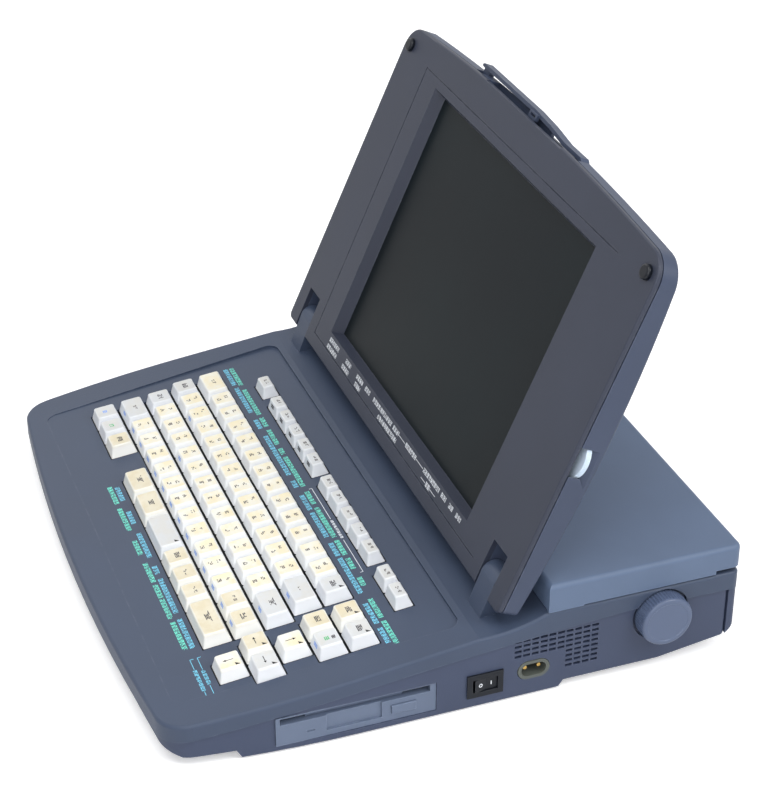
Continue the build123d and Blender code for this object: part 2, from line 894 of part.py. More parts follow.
def keyboard_area(grow):
    """Rectangle in the deck plane that covers all keys."""
    caps = [cap for group in key_places().values() for cap in group]
    left = min(x - width / 2 for x, s, width, depth in caps) - grow
    right = max(x + width / 2 for x, s, width, depth in caps) + grow
    front = min(s - depth / 2 for x, s, width, depth in caps) - grow
    rear = max(s + depth / 2 for x, s, width, depth in caps) + grow
    return Pos((left + right) / 2, (front + rear) / 2) * Rectangle(right - left, rear - front)


def keyboard_frame():
    """Plate with a guide hole for each stem, hung from the upper case by its rim."""
    plate = extrude(Pos(0, 0, -frame_drop - frame_plate) * keyboard_area(frame_margin), amount=frame_plate)
    outer = keyboard_area(frame_margin)
    inner = keyboard_area(frame_margin - frame_rim_width)
    rim = extrude(Pos(0, 0, -circuit_drop) * (outer - inner), amount=circuit_drop - case_wall)
    holes = Sketch()
    side = stem_size + 2 * stem_clearance
    for caps in key_places().values():
        for x, s, width, depth in caps:
            holes += Pos(x, s) * Rectangle(side, side)
    frame = plate + rim - extrude(Pos(0, 0, -circuit_drop) * holes, amount=circuit_drop)
    return deck_plane.location * frame


def keyboard_circuit():
    area = keyboard_area(frame_margin)
    low = -circuit_drop - circuit_thickness
    return deck_plane.location * extrude(Pos(0, 0, low) * area, amount=circuit_thickness)


# ---- Lid

def lid_outline(inset):
    """Outline of the lid in its own plane, moved in by inset."""
    foot = lid_foot_half_width - inset
    top = lid_top_half_width - inset
    side_v = lid_side_height - inset
    base = Line((-foot, inset), (foot, inset))
    right = Line((foot, inset), (top, side_v))
    arch = ThreePointArc((top, side_v), (0, lid_top_height - inset), (-top, side_v))
    left = Line((-top, side_v), (-foot, inset))
    face = make_face([base, right, arch, left])
    face = fillet(face.vertices().sort_by(Axis.Y)[-2:], max(lid_corner_radius - inset, 1.0))
    return fillet(face.vertices().sort_by(Axis.Y)[:2], max(lid_foot_corner_radius - inset, 0.5))


def lid_slab(inset, front_depth, rear_depth):
    """Slab of the lid between two depths behind its face."""
    return extrude(Pos(0, 0, -rear_depth) * lid_outline(inset), amount=rear_depth - front_depth)


def lid_crown(wall):
    """Everything in front of the lid's crowned back, moved in by wall."""
    top_v = lid_top_height + 1
    foot = (-1, wall - lid_foot_depth)
    top = (top_v, wall - lid_top_depth)
    back = ThreePointArc(foot, (lid_mid_v, wall - lid_mid_depth), top)
    front = Polyline(top, (top_v, 1), (-1, 1), foot)
    return side_profile(make_face([back, front]), lid_foot_half_width + 1)


def notch_blocks(grow):
    """The two hinge notches at the lid's foot."""
    notch = block(notch_inner_x - grow, notch_outer_x + grow, -5, notch_top_v + grow, -lid_mid_depth - 5, 5)
    return mirrored(notch)


def handle_legs():
    """X of the middle of each handle leg."""
    return handle_centre_x - handle_leg_x, handle_centre_x + handle_leg_x


def handle_cuts(grow):
    """Finger recess, and the shoulder recess and leg slots that are open to the rear, moved out by grow."""
    top = lid_top_height + 5
    low = -lid_mid_depth - 5
    front = grow - lid_seam_depth
    recess_rear = -recess_rear_depth - grow
    cuts = block(
        recess_left_x - grow, recess_right_x + grow, recess_floor_v - grow, top, recess_rear, front,
    )
    cuts += block(handle_bend_x - grow, shoulder_right_x + grow, shoulder_floor_v - grow, top, low, front)
    half_slot = handle_leg_width / 2 + handle_slot_gap + grow
    for leg in handle_legs():
        cuts += block(leg - half_slot, leg + half_slot, handle_slot_floor_v - grow, top, low, front)
    return cuts


def lid_to_case(shape):
    """Place a shape drawn in the lid's plane."""
    return lid_plane.location * shape


def screen_rectangle(side, bottom, top):
    """Screen opening made smaller by side, bottom and top."""
    width = 2 * (screen_half_width - side)
    low = screen_bottom_v + bottom
    high = screen_top_v - top
    return Pos(0, (low + high) / 2) * Rectangle(width, high - low)


def frame_groove():
    """Fine line on the bezel round three sides of the screen."""
    height = groove_top_v - groove_bottom_v
    middle = Pos(0, (groove_top_v + groove_bottom_v) / 2, -groove_depth)
    outer = Rectangle(2 * groove_half_width, height)
    inner = Pos(groove_width, 0) * Rectangle(2 * groove_half_width, height - 2 * groove_width)
    return extrude(middle * (outer - inner), amount=2 * groove_depth)


def lid_bezel():
    plate = lid_slab(0, 0, lid_seam_depth)
    plate = fillet(plate.faces().sort_by(Axis.Z)[-1].edges(), lid_front_round)
    seam_front = lid_seam_depth - lid_seam_width
    core = lid_slab(lid_seam_width, seam_front, lid_seam_depth)
    plate -= lid_slab(0, seam_front, lid_seam_depth) - core
    plate -= notch_blocks(0)
    plate -= block(recess_left_x, recess_right_x, recess_lip_v, lid_top_height + 1, -lid_seam_depth - 1, 1)
    collar = screen_rectangle(-bevel_wall, -bevel_wall, -bevel_wall)
    plate += extrude(Pos(0, 0, -bevel_depth) * collar, amount=bevel_depth - lid_seam_width)
    front = screen_rectangle(0, 0, 0)
    rear = Pos(0, 0, -bevel_depth) * screen_rectangle(bevel_side, bevel_bottom, bevel_top)
    plate -= loft([front.face(), rear.face()], ruled=True)
    plate -= frame_groove()
    for x in (-bumper_x, bumper_x):
        plate -= post(x, bumper_v, -bumper_root, 1, bumper_radius + running_clearance)
    return lid_to_case(plate)


def lid_edge_x(v):
    """Half width of the lid at a height up its face."""
    return lid_foot_half_width - lid_side_draft * v / lid_side_height


def wheel_centre_x():
    """Middle of the contrast wheel, from where the lid's edge is at its height."""
    return lid_edge_x(wheel_v) + wheel_proud - wheel_radius


def thumb_relief():
    """Sloping hollow in the lid's edge behind the contrast wheel."""
    edge = lid_edge_x(wheel_v)
    start = -wheel_front_depth - wheel_thickness
    end = start - relief_depth
    outline = Polyline(
        (wheel_v - relief_half_length, start), (wheel_v + relief_half_length, start),
        (wheel_v + relief_half_length, end), (wheel_v - relief_half_length - relief_slant, end), close=True,
    )
    slope = Polyline((edge - relief_sink, start), (edge + 1, start), (edge + 1, end), (edge, end), close=True)
    reach = relief_half_length + relief_slant
    sides_face = Pos(edge - relief_sink - 1, 0, 0) * (Plane.YZ * make_face(outline))
    slope_face = Pos(0, wheel_v, 0) * (Plane.XZ * make_face(slope))
    return extrude(sides_face, amount=relief_sink + 2) & extrude(slope_face, amount=reach, both=True)


def lid_back_cover():
    shell = lid_slab(0, lid_seam_depth, lid_mid_depth) & lid_crown(0)
    shell = fillet(shell.faces().sort_by(Axis.Z)[0].edges(), lid_back_round)
    shell -= notch_blocks(0)
    shell -= handle_cuts(0)
    cavity = lid_slab(lid_back_wall, 0, lid_mid_depth) & lid_crown(lid_back_wall)
    cavity -= notch_blocks(lid_back_wall)
    cavity -= handle_cuts(lid_back_wall)
    boss = rod_along_x(
        notch_inner_x - hinge_pin_reach - 1, notch_outer_x + hinge_pin_reach + 1,
        hinge_v, -hinge_depth, hinge_boss_radius,
    )
    cavity -= mirrored(boss)
    reach = handle_pin_reach + 1
    pivot_z = -handle_pivot_depth
    for leg in handle_legs():
        cavity -= rod_along_x(leg - reach, leg + reach, handle_pivot_v, pivot_z, handle_boss_radius)
    wheel_rear = -wheel_front_depth - wheel_thickness - 0.3
    cavity -= post(wheel_centre_x(), wheel_v, -lid_mid_depth, wheel_rear, 2.5 * wheel_axle_radius)
    edge = lid_edge_x(wheel_v)
    pad_half = relief_half_length + relief_slant + 3
    cavity -= block(edge - relief_pad, edge, wheel_v - pad_half, wheel_v + pad_half, -lid_mid_depth, 0)
    shell -= cavity
    shell -= mirrored(rod_along_x(
        notch_inner_x - hinge_pin_reach, notch_outer_x + hinge_pin_reach, hinge_v, -hinge_depth,
        hinge_pin_radius + 0.02,
    ))
    for leg in handle_legs():
        shell -= rod_along_x(
            leg - handle_pin_reach, leg + handle_pin_reach, handle_pivot_v, -handle_pivot_depth,
            handle_pin_radius + 0.02,
        )
    shell -= thumb_relief()
    shell -= post(wheel_centre_x(), wheel_v, wheel_rear, 1 - lid_seam_depth, wheel_radius + wheel_gap)
    shell += post(wheel_centre_x(), wheel_v, wheel_rear - 3, -wheel_front_depth, wheel_axle_radius)
    return lid_to_case(shell)


def screen_stack(name):
    """Window, liquid crystal panel and backlight, one behind the other."""
    window = screen_rectangle(bevel_side - window_margin, 0, bevel_top - window_margin)
    panel = screen_rectangle(-lcd_margin + bevel_side, -lcd_margin + bevel_bottom, -lcd_margin + bevel_top)
    depth = bevel_depth
    if name == "screen_window":
        return lid_to_case(extrude(Pos(0, 0, -depth - window_thickness) * window, amount=window_thickness))
    depth += window_thickness
    if name == "lcd_panel":
        return lid_to_case(extrude(Pos(0, 0, -depth - lcd_thickness) * panel, amount=lcd_thickness))
    depth += lcd_thickness
    return lid_to_case(extrude(Pos(0, 0, -depth - backlight_thickness) * panel, amount=backlight_thickness))


def inverter_board():
    board = block(
        -inverter_length / 2, inverter_length / 2, inverter_v, inverter_v + inverter_height,
        -lid_seam_depth - inverter_thickness, -lid_seam_depth,
    )
    return lid_to_case(board)


def hinge_pins():
    start = notch_inner_x - hinge_pin_reach
    end = notch_outer_x + hinge_pin_reach
    return lid_to_case(mirrored(rod_along_x(start, end, hinge_v, -hinge_depth, hinge_pin_radius)))


def contrast_wheel():
    x = wheel_centre_x()
    low = -wheel_front_depth - wheel_thickness
    wheel = post(x, wheel_v, low, -wheel_front_depth, wheel_radius)
    wheel -= post(x, wheel_v, low - 1, -wheel_front_depth + 1, wheel_axle_radius + running_clearance)
    notches = Sketch()
    for index in range(wheel_notches):
        turn = Rot(0, 0, 360 / wheel_notches * index)
        notches += turn * Pos(wheel_radius, 0) * Circle(wheel_notch_radius)
    wheel -= extrude(Pos(x, wheel_v, low - 1) * notches, amount=wheel_thickness + 2)
    return lid_to_case(wheel)


def lid_bumpers():
    bumper = post(bumper_x, bumper_v, -bumper_root, bumper_height, bumper_radius)
    bumper = fillet(bumper.faces().sort_by(Axis.Z)[-1].edges(), bumper_round)
    return lid_to_case(mirrored(bumper))


def handle_side_view():
    """Front view of the bar: level on the left, bent down to a shoulder on the right."""
    left = handle_centre_x - handle_half_length
    right = handle_centre_x + handle_half_length
    low = handle_under_v
    high = low + handle_bar_height
    bar = Polyline(
        (left, low + 0.4), (left + 2, low), (handle_level_end_x, low),
        (handle_bend_x, low - handle_bend_drop), (handle_shoulder_x, low - handle_shoulder_drop),
        (right, low - handle_shoulder_drop - 0.1), (right, high - handle_shoulder_drop - 1.6),
        (right - 2.5, high - handle_shoulder_drop), (handle_shoulder_x, high - handle_shoulder_drop),
        (handle_bend_x, high - handle_bend_drop), (handle_level_end_x, high), (left + 2, high),
        (left, high - 0.8), close=True,
    )
    return make_face(bar)


def carry_handle():
    """Bar on two legs with a small latch loop."""
    thickness = handle_rear_depth - handle_front_depth
    bar = extrude(Pos(0, 0, -handle_rear_depth) * handle_side_view(), amount=thickness)
    half = handle_leg_thickness / 2
    low = handle_under_v - handle_shoulder_drop
    for leg, top in zip(handle_legs(), (handle_under_v + 0.5, low + 0.5)):
        bar += block(
            leg - handle_leg_width / 2, leg + handle_leg_width / 2, handle_pivot_v, top,
            -handle_pivot_depth - half, -handle_pivot_depth + half,
        )
        bar += rod_along_x(
            leg - handle_leg_width / 2, leg + handle_leg_width / 2, handle_pivot_v, -handle_pivot_depth,
            handle_boss_radius,
        )
    hook_low = handle_under_v - hook_drop
    hook = block(
        hook_x - hook_width / 2, hook_x + hook_width / 2, hook_low, handle_under_v + 1,
        -handle_front_depth - 0.5, -hook_front_depth,
    )
    inner = hook_width / 2 - hook_bar
    hook -= block(
        hook_x - inner, hook_x + inner, hook_low + hook_bar, handle_under_v,
        -handle_front_depth - 1, -hook_front_depth + 1,
    )
    bar += hook
    for leg in handle_legs():
        bar -= rod_along_x(
            leg - handle_pin_reach, leg + handle_pin_reach, handle_pivot_v, -handle_pivot_depth,
            handle_pin_radius + running_clearance,
        )
    return lid_to_case(bar)


def handle_pins():
    pins = Part()
    for leg in handle_legs():
        pins += rod_along_x(
            leg - handle_pin_reach, leg + handle_pin_reach, handle_pivot_v, -handle_pivot_depth,
            handle_pin_radius,
        )
    return lid_to_case(pins)


# ---- Printer cover

def printer_cover():
    outline = plan(0, case_rear_y)
    outside = extrude(Pos(0, 0, cover_base_z) * outline, amount=cover_top_z - cover_base_z)
    wide = case_half_width + 1
    outside &= block(-wide, wide, cover_front_y, case_rear_y + 1, cover_base_z, cover_top_z)
    outside = fillet(outside.faces().sort_by(Axis.Z)[-1].edges(), cover_round)
    inside = extrude(
        Pos(0, 0, cover_base_z - 1) * plan(cover_wall, case_rear_y - cover_wall),
        amount=cover_top_z - cover_base_z + 1 - cover_wall,
    )
    inside &= block(-wide, wide, cover_front_y + cover_wall, case_rear_y, 0, cover_top_z)
    cover = outside - inside
    cover -= block(-wide, wide, cover_rear_rise_y, case_rear_y + 1, 0, cover_rear_base_z)
    lip = extrude(Pos(0, 0, cover_base_z - cover_lip_drop) * outline, amount=cover_lip_drop + 1)
    lip &= block(
        case_half_width - cover_wall, wide, cover_front_y, cover_front_y + cover_lip_length,
        cover_base_z - cover_lip_drop, cover_base_z + 1,
    )
    cover += mirrored(lip)
    cover -= block(
        -paper_notch_half_width, paper_notch_half_width, case_rear_y - cover_wall - 1, case_rear_y + 1,
        0, paper_notch_top_z,
    )
    roof = cover_top_z - cover_wall + 0.5
    strap = Polyline(
        (cover_pivot_y - 2.5, cover_pivot_z - 2.5), (cover_pivot_y + 2.5, cover_pivot_z + 2.5),
        (cover_lug_roof_y + 8, roof), (cover_lug_roof_y, roof), close=True,
    )
    lug = extrude(Pos(cover_lug_x, 0, 0) * (Plane.YZ * make_face(strap)), amount=cover_lug_width)
    lug += rod_along_x(
        cover_lug_x, cover_lug_x + cover_lug_width, cover_pivot_y, cover_pivot_z, cover_lug_radius,
    )
    cover += mirrored(lug)
    return cover - mirrored(rod_along_x(
        cover_lug_x - 1, cover_lug_x + cover_lug_width + 1, cover_pivot_y, cover_pivot_z,
        cover_pin_radius + running_clearance,
    ))


def cover_pins():
    start = cover_lug_x - 0.5
    end = cover_lug_x + cover_lug_width + cover_lug_gap + cover_ear_width
    return mirrored(rod_along_x(start, end, cover_pivot_y, cover_pivot_z, cover_pin_radius))


# ---- Diskette drive

def bezel_block(y0, y1, z0, z1, x0, x1):
    """Box given from the bezel's lower front corner."""
    return block(x0, x1, bezel_front_y + y0, bezel_front_y + y1, bezel_base_z + z0, bezel_base_z + z1)


def slot_limits():
    """Disk slot measured from the bezel's lower edge."""
    top = bezel_height - slot_top_drop
    return top - slot_height, top


def drive_bezel():
    inner_x = bezel_face_x - bezel_thickness
    plate = bezel_block(0, bezel_length, 0, bezel_height, inner_x, bezel_face_x)
    slot_low, slot_high = slot_limits()
    out = bezel_face_x + 1
    plate -= bezel_block(slot_end, slot_end + slot_length, slot_low, slot_high, inner_x - 1, out)
    panel_end = finger_panel_front + finger_panel_length
    panel_x = bezel_face_x - finger_panel_depth
    plate -= bezel_block(finger_panel_front, panel_end, finger_panel_base, slot_low + 1, panel_x, out)
    plate -= bezel_block(
        eject_front - eject_gap, eject_front + eject_length + eject_gap,
        eject_base - eject_gap, eject_base + eject_height + eject_gap, inner_x - 1, out,
    )
    plate -= bezel_block(
        lamp_front, lamp_front + lamp_length, lamp_base, lamp_base + lamp_height, bezel_face_x - 0.6, out,
    )
    bore = door_pivot() * Cylinder(door_pin_radius + running_clearance, slot_length + 3)
    return plate - bore


def door_pivot():
    """Place of the dust door's pin, along Y under the upper edge of the slot."""
    slot_high = slot_limits()[1]
    x = bezel_face_x - bezel_thickness + door_inset
    z = bezel_base_z + slot_high - door_hinge_drop
    return Pos(x, bezel_front_y + slot_end + slot_length / 2, z) * Rot(90, 0, 0)


def drive_dust_door():
    """Flap that closes the slot from inside, hung on a pin at its upper edge."""
    slot_low, slot_high = slot_limits()
    hinge_x = bezel_face_x - bezel_thickness + door_inset
    middle = slot_end + slot_length / 2
    flap = bezel_block(
        middle - door_length / 2, middle + door_length / 2, slot_low + door_gap, slot_high - door_hinge_drop,
        hinge_x - door_thickness / 2, hinge_x + door_thickness / 2,
    )
    return flap + door_pivot() * Cylinder(door_pin_radius, slot_length + 2)


def drive_eject_button():
    inner_x = bezel_face_x - bezel_thickness
    button = bezel_block(
        eject_front, eject_front + eject_length, eject_base, eject_base + eject_height,
        inner_x - 1, bezel_face_x + eject_proud,
    )
    return fillet(button.faces().sort_by(Axis.X)[-1].edges(), 0.6)


def chassis_limits():
    """Outer limits of the drive's sheet metal box."""
    right = bezel_face_x - bezel_thickness
    front = bezel_front_y + 0.8
    rear = bezel_front_y + bezel_length - 0.8
    low = bezel_base_z + chassis_clearance
    high = bezel_base_z + bezel_height - 0.2
    return right - chassis_depth, right, front, rear, low, high


def drive_chassis():
    left, right, front, rear, low, high = chassis_limits()
    sheet = chassis_sheet
    box = block(left, right, front, rear, low, high)
    box -= block(left + sheet, right + 1, front + sheet, rear - sheet, low + sheet, high - sheet / 2)
    shelf_y = (front + rear) / 2
    rail_x0 = left + sheet
    wall_x = rail_x0 + head_length + head_travel + 6
    half = head_width / 2
    for y in (shelf_y - half + rail_edge, shelf_y + half - rail_edge):
        box += rod_along_x(rail_x0 - 0.5, wall_x, y, low + sheet + rail_lift, rail_radius)
    box += block(wall_x, wall_x + 1.5, shelf_y - half, shelf_y + half, low + 0.5, low + sheet + head_height)
    axle_top = low + sheet + spindle_height - 0.5
    return box + post(spindle_x(), shelf_y, low + 0.5, axle_top, spindle_axle_radius)


def spindle_x():
    """X of the drive's spindle."""
    left, right = chassis_limits()[:2]
    return (left + right) / 2 + spindle_offset


def drive_spindle():
    left, right, front, rear, low, high = chassis_limits()
    middle_y = (front + rear) / 2
    base = low + chassis_sheet + 0.2
    hub = post(spindle_x(), middle_y, base, base + spindle_height, spindle_radius)
    bore_radius = spindle_axle_radius + running_clearance
    return hub - post(spindle_x(), middle_y, base - 1, base + spindle_height - 0.6, bore_radius)


def drive_head_carriage():
    left, right, front, rear, low, high = chassis_limits()
    middle_y = (front + rear) / 2
    start = left + chassis_sheet + 1
    base = low + chassis_sheet + 0.8
    half = head_width / 2
    rail_z = low + chassis_sheet + rail_lift
    head = block(start, start + head_length, middle_y - half, middle_y + half, base, base + head_height)
    for y in (middle_y - half + rail_edge, middle_y + half - rail_edge):
        head -= rod_along_x(start - 1, start + head_length + 1, y, rail_z, rail_radius + running_clearance)
    return head


# ---- Power switch, mains inlet and boards

def switch_housing():
    face_x = lower_half_width
    y0 = rocker_front_y
    y1 = y0 + rocker_length
    z0 = rocker_base_z
    z1 = z0 + rocker_height
    gap = 0.1
    body = block(face_x - rocker_housing_depth, face_x, y0 + gap, y1 - gap, z0 + gap, z1 - gap)
    flange = rocker_flange_width
    body += block(face_x, face_x + rocker_flange, y0 - flange, y1 + flange, z0 - flange, z1 + flange)
    wall = 2.0
    body -= block(face_x - 10, face_x + 3, y0 + wall, y1 - wall, z0 + wall, z1 - wall)
    pivot = rod_for_rocker(rocker_pin_radius, z0 + wall - 0.5, z1 - wall + 0.5)
    return body + pivot


def rocker_pivot():
    """X and Y of the rocker's upright pivot."""
    return lower_half_width - rocker_pivot_inset, rocker_front_y + rocker_length / 2


def rod_for_rocker(radius, z0, z1):
    x, y = rocker_pivot()
    return post(x, y, z0, z1, radius)


def power_rocker():
    """Rocker with a shallow V face, turning about an upright pin. One end is pressed in at rest."""
    x, y = rocker_pivot()
    wall = 2.0
    half = rocker_length / 2 - wall - rocker_end_gap
    crest = lower_half_width + 1.6
    profile = Polyline(
        (x - 2.4, y - half + 1.5), (crest - 0.6, y - half), (crest - 1.2, y), (crest - 0.6, y + half),
        (x - 2.4, y + half - 1.5), close=True,
    )
    z0 = rocker_base_z + wall + rocker_gap
    z1 = rocker_base_z + rocker_height - wall - rocker_gap
    rocker = extrude(Pos(0, 0, z0) * make_face(profile), amount=z1 - z0)
    rocker -= rod_for_rocker(rocker_pin_radius + running_clearance, z0 - 1, z1 + 1)
    tilt = Pos(x, y, 0) * Rot(0, 0, rocker_half_angle) * Pos(-x, -y, 0)
    return tilt * rocker


def inlet_centre():
    return inlet_front_y + inlet_length / 2, inlet_base_z + inlet_height / 2


def mains_inlet():
    y, z = inlet_centre()
    face_x = lower_half_width + inlet_proud
    outline = Plane.YZ * SlotOverall(inlet_length, inlet_height)
    body = Pos(face_x - inlet_depth, y, z) * extrude(outline, amount=inlet_depth)
    cavity = SlotOverall(inlet_cavity_length, inlet_cavity_height)
    place = Pos(face_x - inlet_cavity_depth, y, z)
    body -= place * extrude(Plane.YZ * cavity, amount=inlet_cavity_depth + 1)
    for side in (-1, 1):
        body -= rod_along_x(
            face_x - inlet_depth - 1, face_x, y + side * inlet_pin_spacing / 2, z, inlet_pin_radius + 0.02,
        )
    return body


def mains_pins():
    y, z = inlet_centre()
    face_x = lower_half_width + inlet_proud
    pins = Part()
    for side in (-1, 1):
        pins += rod_along_x(
            face_x - inlet_depth - 4, face_x - 3, y + side * inlet_pin_spacing / 2, z, inlet_pin_radius,
        )
    return pins


def main_board():
    low = plinth_floor_z + board_lift
    top = low + board_thickness
    board = block(main_board_left_x, main_board_right_x, main_board_front_y, main_board_rear_y, low, top)
    half = chip_size / 2
    middle = (main_board_left_x + main_board_right_x) / 2
    for x in (middle - chip_spacing, middle, middle + chip_spacing):
        board += block(x - half, x + half, chip_y - half, chip_y + half, top - 0.5, top + chip_height)
    return board


def power_supply_board():
    low = plinth_floor_z + board_lift
    return block(supply_left_x, supply_right_x, supply_front_y, supply_rear_y, low, low + board_thickness)


def power_transformer():
    low = plinth_floor_z + board_lift + board_thickness
    x = supply_left_x + 12
    y = supply_front_y + 8
    core = block(x, x + transformer_length, y, y + transformer_width, low, low + transformer_height)
    return fillet(core.edges().filter_by(Axis.Z), 3)


# ---- Printer mechanism

def printer_frame():
    base_z = frame_base_z
    sheet_low = base_z - frame_base_drop
    right = frame_right_x + frame_sheet
    frame = block(frame_left_x, right, frame_front_y, frame_rear_y, sheet_low, base_z)
    motor_left = gear_x - motor_gap - motor_length
    frame += block(motor_left, frame_left_x, pinion_y - motor_side / 2, frame_rear_y, sheet_low, base_z)
    for x in (frame_left_x, frame_right_x):
        frame += block(x, x + frame_sheet, frame_front_y, frame_rear_y, sheet_low, frame_top_z)
    rail_top = base_z + rail_height
    frame += block(frame_left_x, right, frame_front_y, frame_front_y + 2, sheet_low, rail_top)
    rail_end = pulley_right_x - drive_motor_radius - 2
    frame += block(frame_left_x, rail_end, frame_front_y, carriage_front_y + 4, rail_top - 1.5, rail_top)
    start = motor_left - 1
    frame -= rod_along_x(start, right + 1, platen_y, platen_z, platen_shaft_radius + running_clearance)
    frame -= rod_along_x(start, right + 1, rod_y, rod_z, rod_radius + 0.02)
    frame -= rod_along_x(start, right + 1, platen_y, pinch_z, pinch_shaft_radius + running_clearance)
    shelf_z = pulley_base_z + pulley_height + drive_motor_gap
    reach = drive_motor_radius + 1
    shelf_top = shelf_z + frame_sheet
    frame += block(pulley_right_x - reach, right, frame_front_y, pulley_y + reach, shelf_z, shelf_top)
    frame -= post(pulley_right_x, pulley_y, shelf_z - 1, shelf_top + 1, motor_shaft_radius + 1)
    axle_top = pulley_base_z + pulley_height + 1
    frame += post(pulley_left_x, pulley_y, base_z - 0.5, axle_top, idler_axle_radius)
    return frame


def platen_roller():
    roller = rod_along_x(-platen_half_length, platen_half_length, platen_y, platen_z, platen_radius)
    reach = platen_half_length + platen_bore_reach
    return roller - rod_along_x(-reach, reach, platen_y, platen_z, platen_shaft_radius + 0.02)


def platen_shaft():
    right = knob_face_x - knob_proud + knob_shaft_seat
    return rod_along_x(gear_x - 1, right, platen_y, platen_z, platen_shaft_radius)


def platen_knob():
    inner = lower_half_width - knob_seat_depth + 0.8
    knob = rod_along_x(inner, knob_face_x, platen_y, platen_z, knob_radius)
    knob = fillet(knob.faces().sort_by(Axis.X)[-1].edges(), knob_face_round)
    grooves = Sketch()
    for index in range(knob_ridges):
        grooves += Rot(0, 0, 360 / knob_ridges * index) * Pos(knob_radius, 0) * Circle(knob_ridge_radius)
    place = Pos(inner - 1, platen_y, platen_z)
    knob -= place * extrude(Plane.YZ * grooves, amount=knob_face_x - inner - knob_face_round)
    seat = knob_face_x - knob_proud + knob_shaft_seat
    return knob - rod_along_x(inner - 1, seat, platen_y, platen_z, platen_shaft_radius + 0.02)


def gear_face(teeth, phase):
    """Gear outline with straight-sided teeth, one tooth pointing along the phase angle."""
    pitch_radius = gear_module * teeth / 2
    outer = pitch_radius + 0.8 * gear_module
    root = pitch_radius - 1.2 * gear_module
    pitch_angle = 360 / teeth
    half_root = pitch_angle * tooth_share * 0.75
    half_tip = pitch_angle * tooth_share * 0.3
    points = []
    for index in range(teeth):
        middle = phase + pitch_angle * index
        for radius, angle in ((root, -half_root), (outer, -half_tip), (outer, half_tip), (root, half_root)):
            turn = radians(middle + angle)
            points.append((radius * cos(turn), radius * sin(turn)))
    return make_face(Polyline(*points, close=True))


def gear_solid(teeth, phase, y, z, width):
    face = gear_face(teeth, phase)
    return Pos(gear_x, y, z) * extrude(Plane.YZ * face, amount=width)


def platen_gear():
    gear = gear_solid(gear_teeth, pinion_angle, platen_y, platen_z, gear_width)
    bore_radius = platen_shaft_radius + 0.02
    return gear - rod_along_x(gear_x - 2, gear_x + gear_width + 2, platen_y, platen_z, bore_radius)


def feed_pinion():
    phase = pinion_angle + 180 + 180 / pinion_teeth
    pinion = gear_solid(pinion_teeth, phase, pinion_y, pinion_z, pinion_width)
    return pinion - rod_along_x(
        gear_x - 1, gear_x + pinion_width + 1, pinion_y, pinion_z, motor_shaft_radius + running_clearance,
    )


def feed_motor():
    right = gear_x - motor_gap
    half = motor_side / 2
    motor = block(
        right - motor_length, right, pinion_y - half, pinion_y + half, pinion_z - half, pinion_z + half,
    )
    motor = fillet(motor.edges().filter_by(Axis.X), 3)
    return motor + rod_along_x(right - 1, gear_x + pinion_width - 0.5, pinion_y, pinion_z, motor_shaft_radius)


def pinch_rollers():
    rollers = rod_along_x(
        frame_left_x - 1, frame_right_x + frame_sheet + 1, platen_y, pinch_z, pinch_shaft_radius,
    )
    for x in (-pinch_spacing, 0, pinch_spacing):
        rollers += rod_along_x(x - pinch_length / 2, x + pinch_length / 2, platen_y, pinch_z, pinch_radius)
    return rollers


def paper_guide():
    """Curved sheet behind the platen that leads the paper down and round it."""
    inner = platen_radius + guide_gap
    outer = inner + guide_sheet
    start = radians(guide_start)
    end = radians(guide_end)
    middle = (start + end) / 2

    def arc(radius, first, last):
        points = [(radius * cos(a), radius * sin(a)) for a in (first, middle, last)]
        return ThreePointArc(*points)

    def spoke(angle):
        return Line((inner * cos(angle), inner * sin(angle)), (outer * cos(angle), outer * sin(angle)))

    face = make_face([arc(inner, start, end), arc(outer, start, end), spoke(start), spoke(end)])
    left = frame_left_x + frame_sheet
    guide = Pos(left, platen_y, platen_z) * extrude(Plane.YZ * face, amount=frame_right_x - left)
    clear = pinch_radius + 1
    for x in (-pinch_spacing, 0, pinch_spacing):
        half = pinch_length / 2 + 1
        guide -= rod_along_x(x - half, x + half, platen_y, pinch_z, clear)
    return guide - rod_along_x(left - 1, frame_right_x + 1, platen_y, pinch_z, pinch_shaft_radius + 0.6)


def carriage_rod():
    return rod_along_x(frame_left_x, frame_right_x + frame_sheet, rod_y, rod_z, rod_radius)


def carriage_limits():
    left = carriage_start_x - carriage_length / 2
    low = frame_base_z + rail_height + carriage_rail_gap
    return left, left + carriage_length, low


def print_carriage():
    left, right, low = carriage_limits()
    middle = (left + right) / 2
    carriage = block(left, right, carriage_front_y, carriage_rear_y, low, carriage_top_z)
    half_width = head_face_width / 2
    half_height = head_face_height / 2
    carriage += block(
        middle - half_width, middle + half_width, carriage_rear_y - 1,
        platen_y - platen_radius - head_face_gap, platen_z - half_height, platen_z + half_height,
    )
    return carriage - rod_along_x(left - 1, right + 1, rod_y, rod_z, rod_radius + running_clearance)


def ribbon_cassette():
    left, right, low = carriage_limits()
    middle = (left + right) / 2
    half = cassette_length / 2
    case = block(
        middle - half, middle + half, carriage_front_y + 1, carriage_rear_y - 1,
        carriage_top_z, carriage_top_z + cassette_height,
    )
    return fillet(case.edges().filter_by(Axis.Z), 4)


def pulley(x):
    return post(x, pulley_y, pulley_base_z, pulley_base_z + pulley_height, pulley_radius)


def drive_pulley():
    top = pulley_base_z + pulley_height + 1
    bore_radius = motor_shaft_radius + running_clearance
    return pulley(pulley_right_x) - post(pulley_right_x, pulley_y, 0, top, bore_radius)


def idler_pulley():
    bore_radius = idler_axle_radius + running_clearance
    return pulley(pulley_left_x) - post(pulley_left_x, pulley_y, 0, frame_top_z, bore_radius)


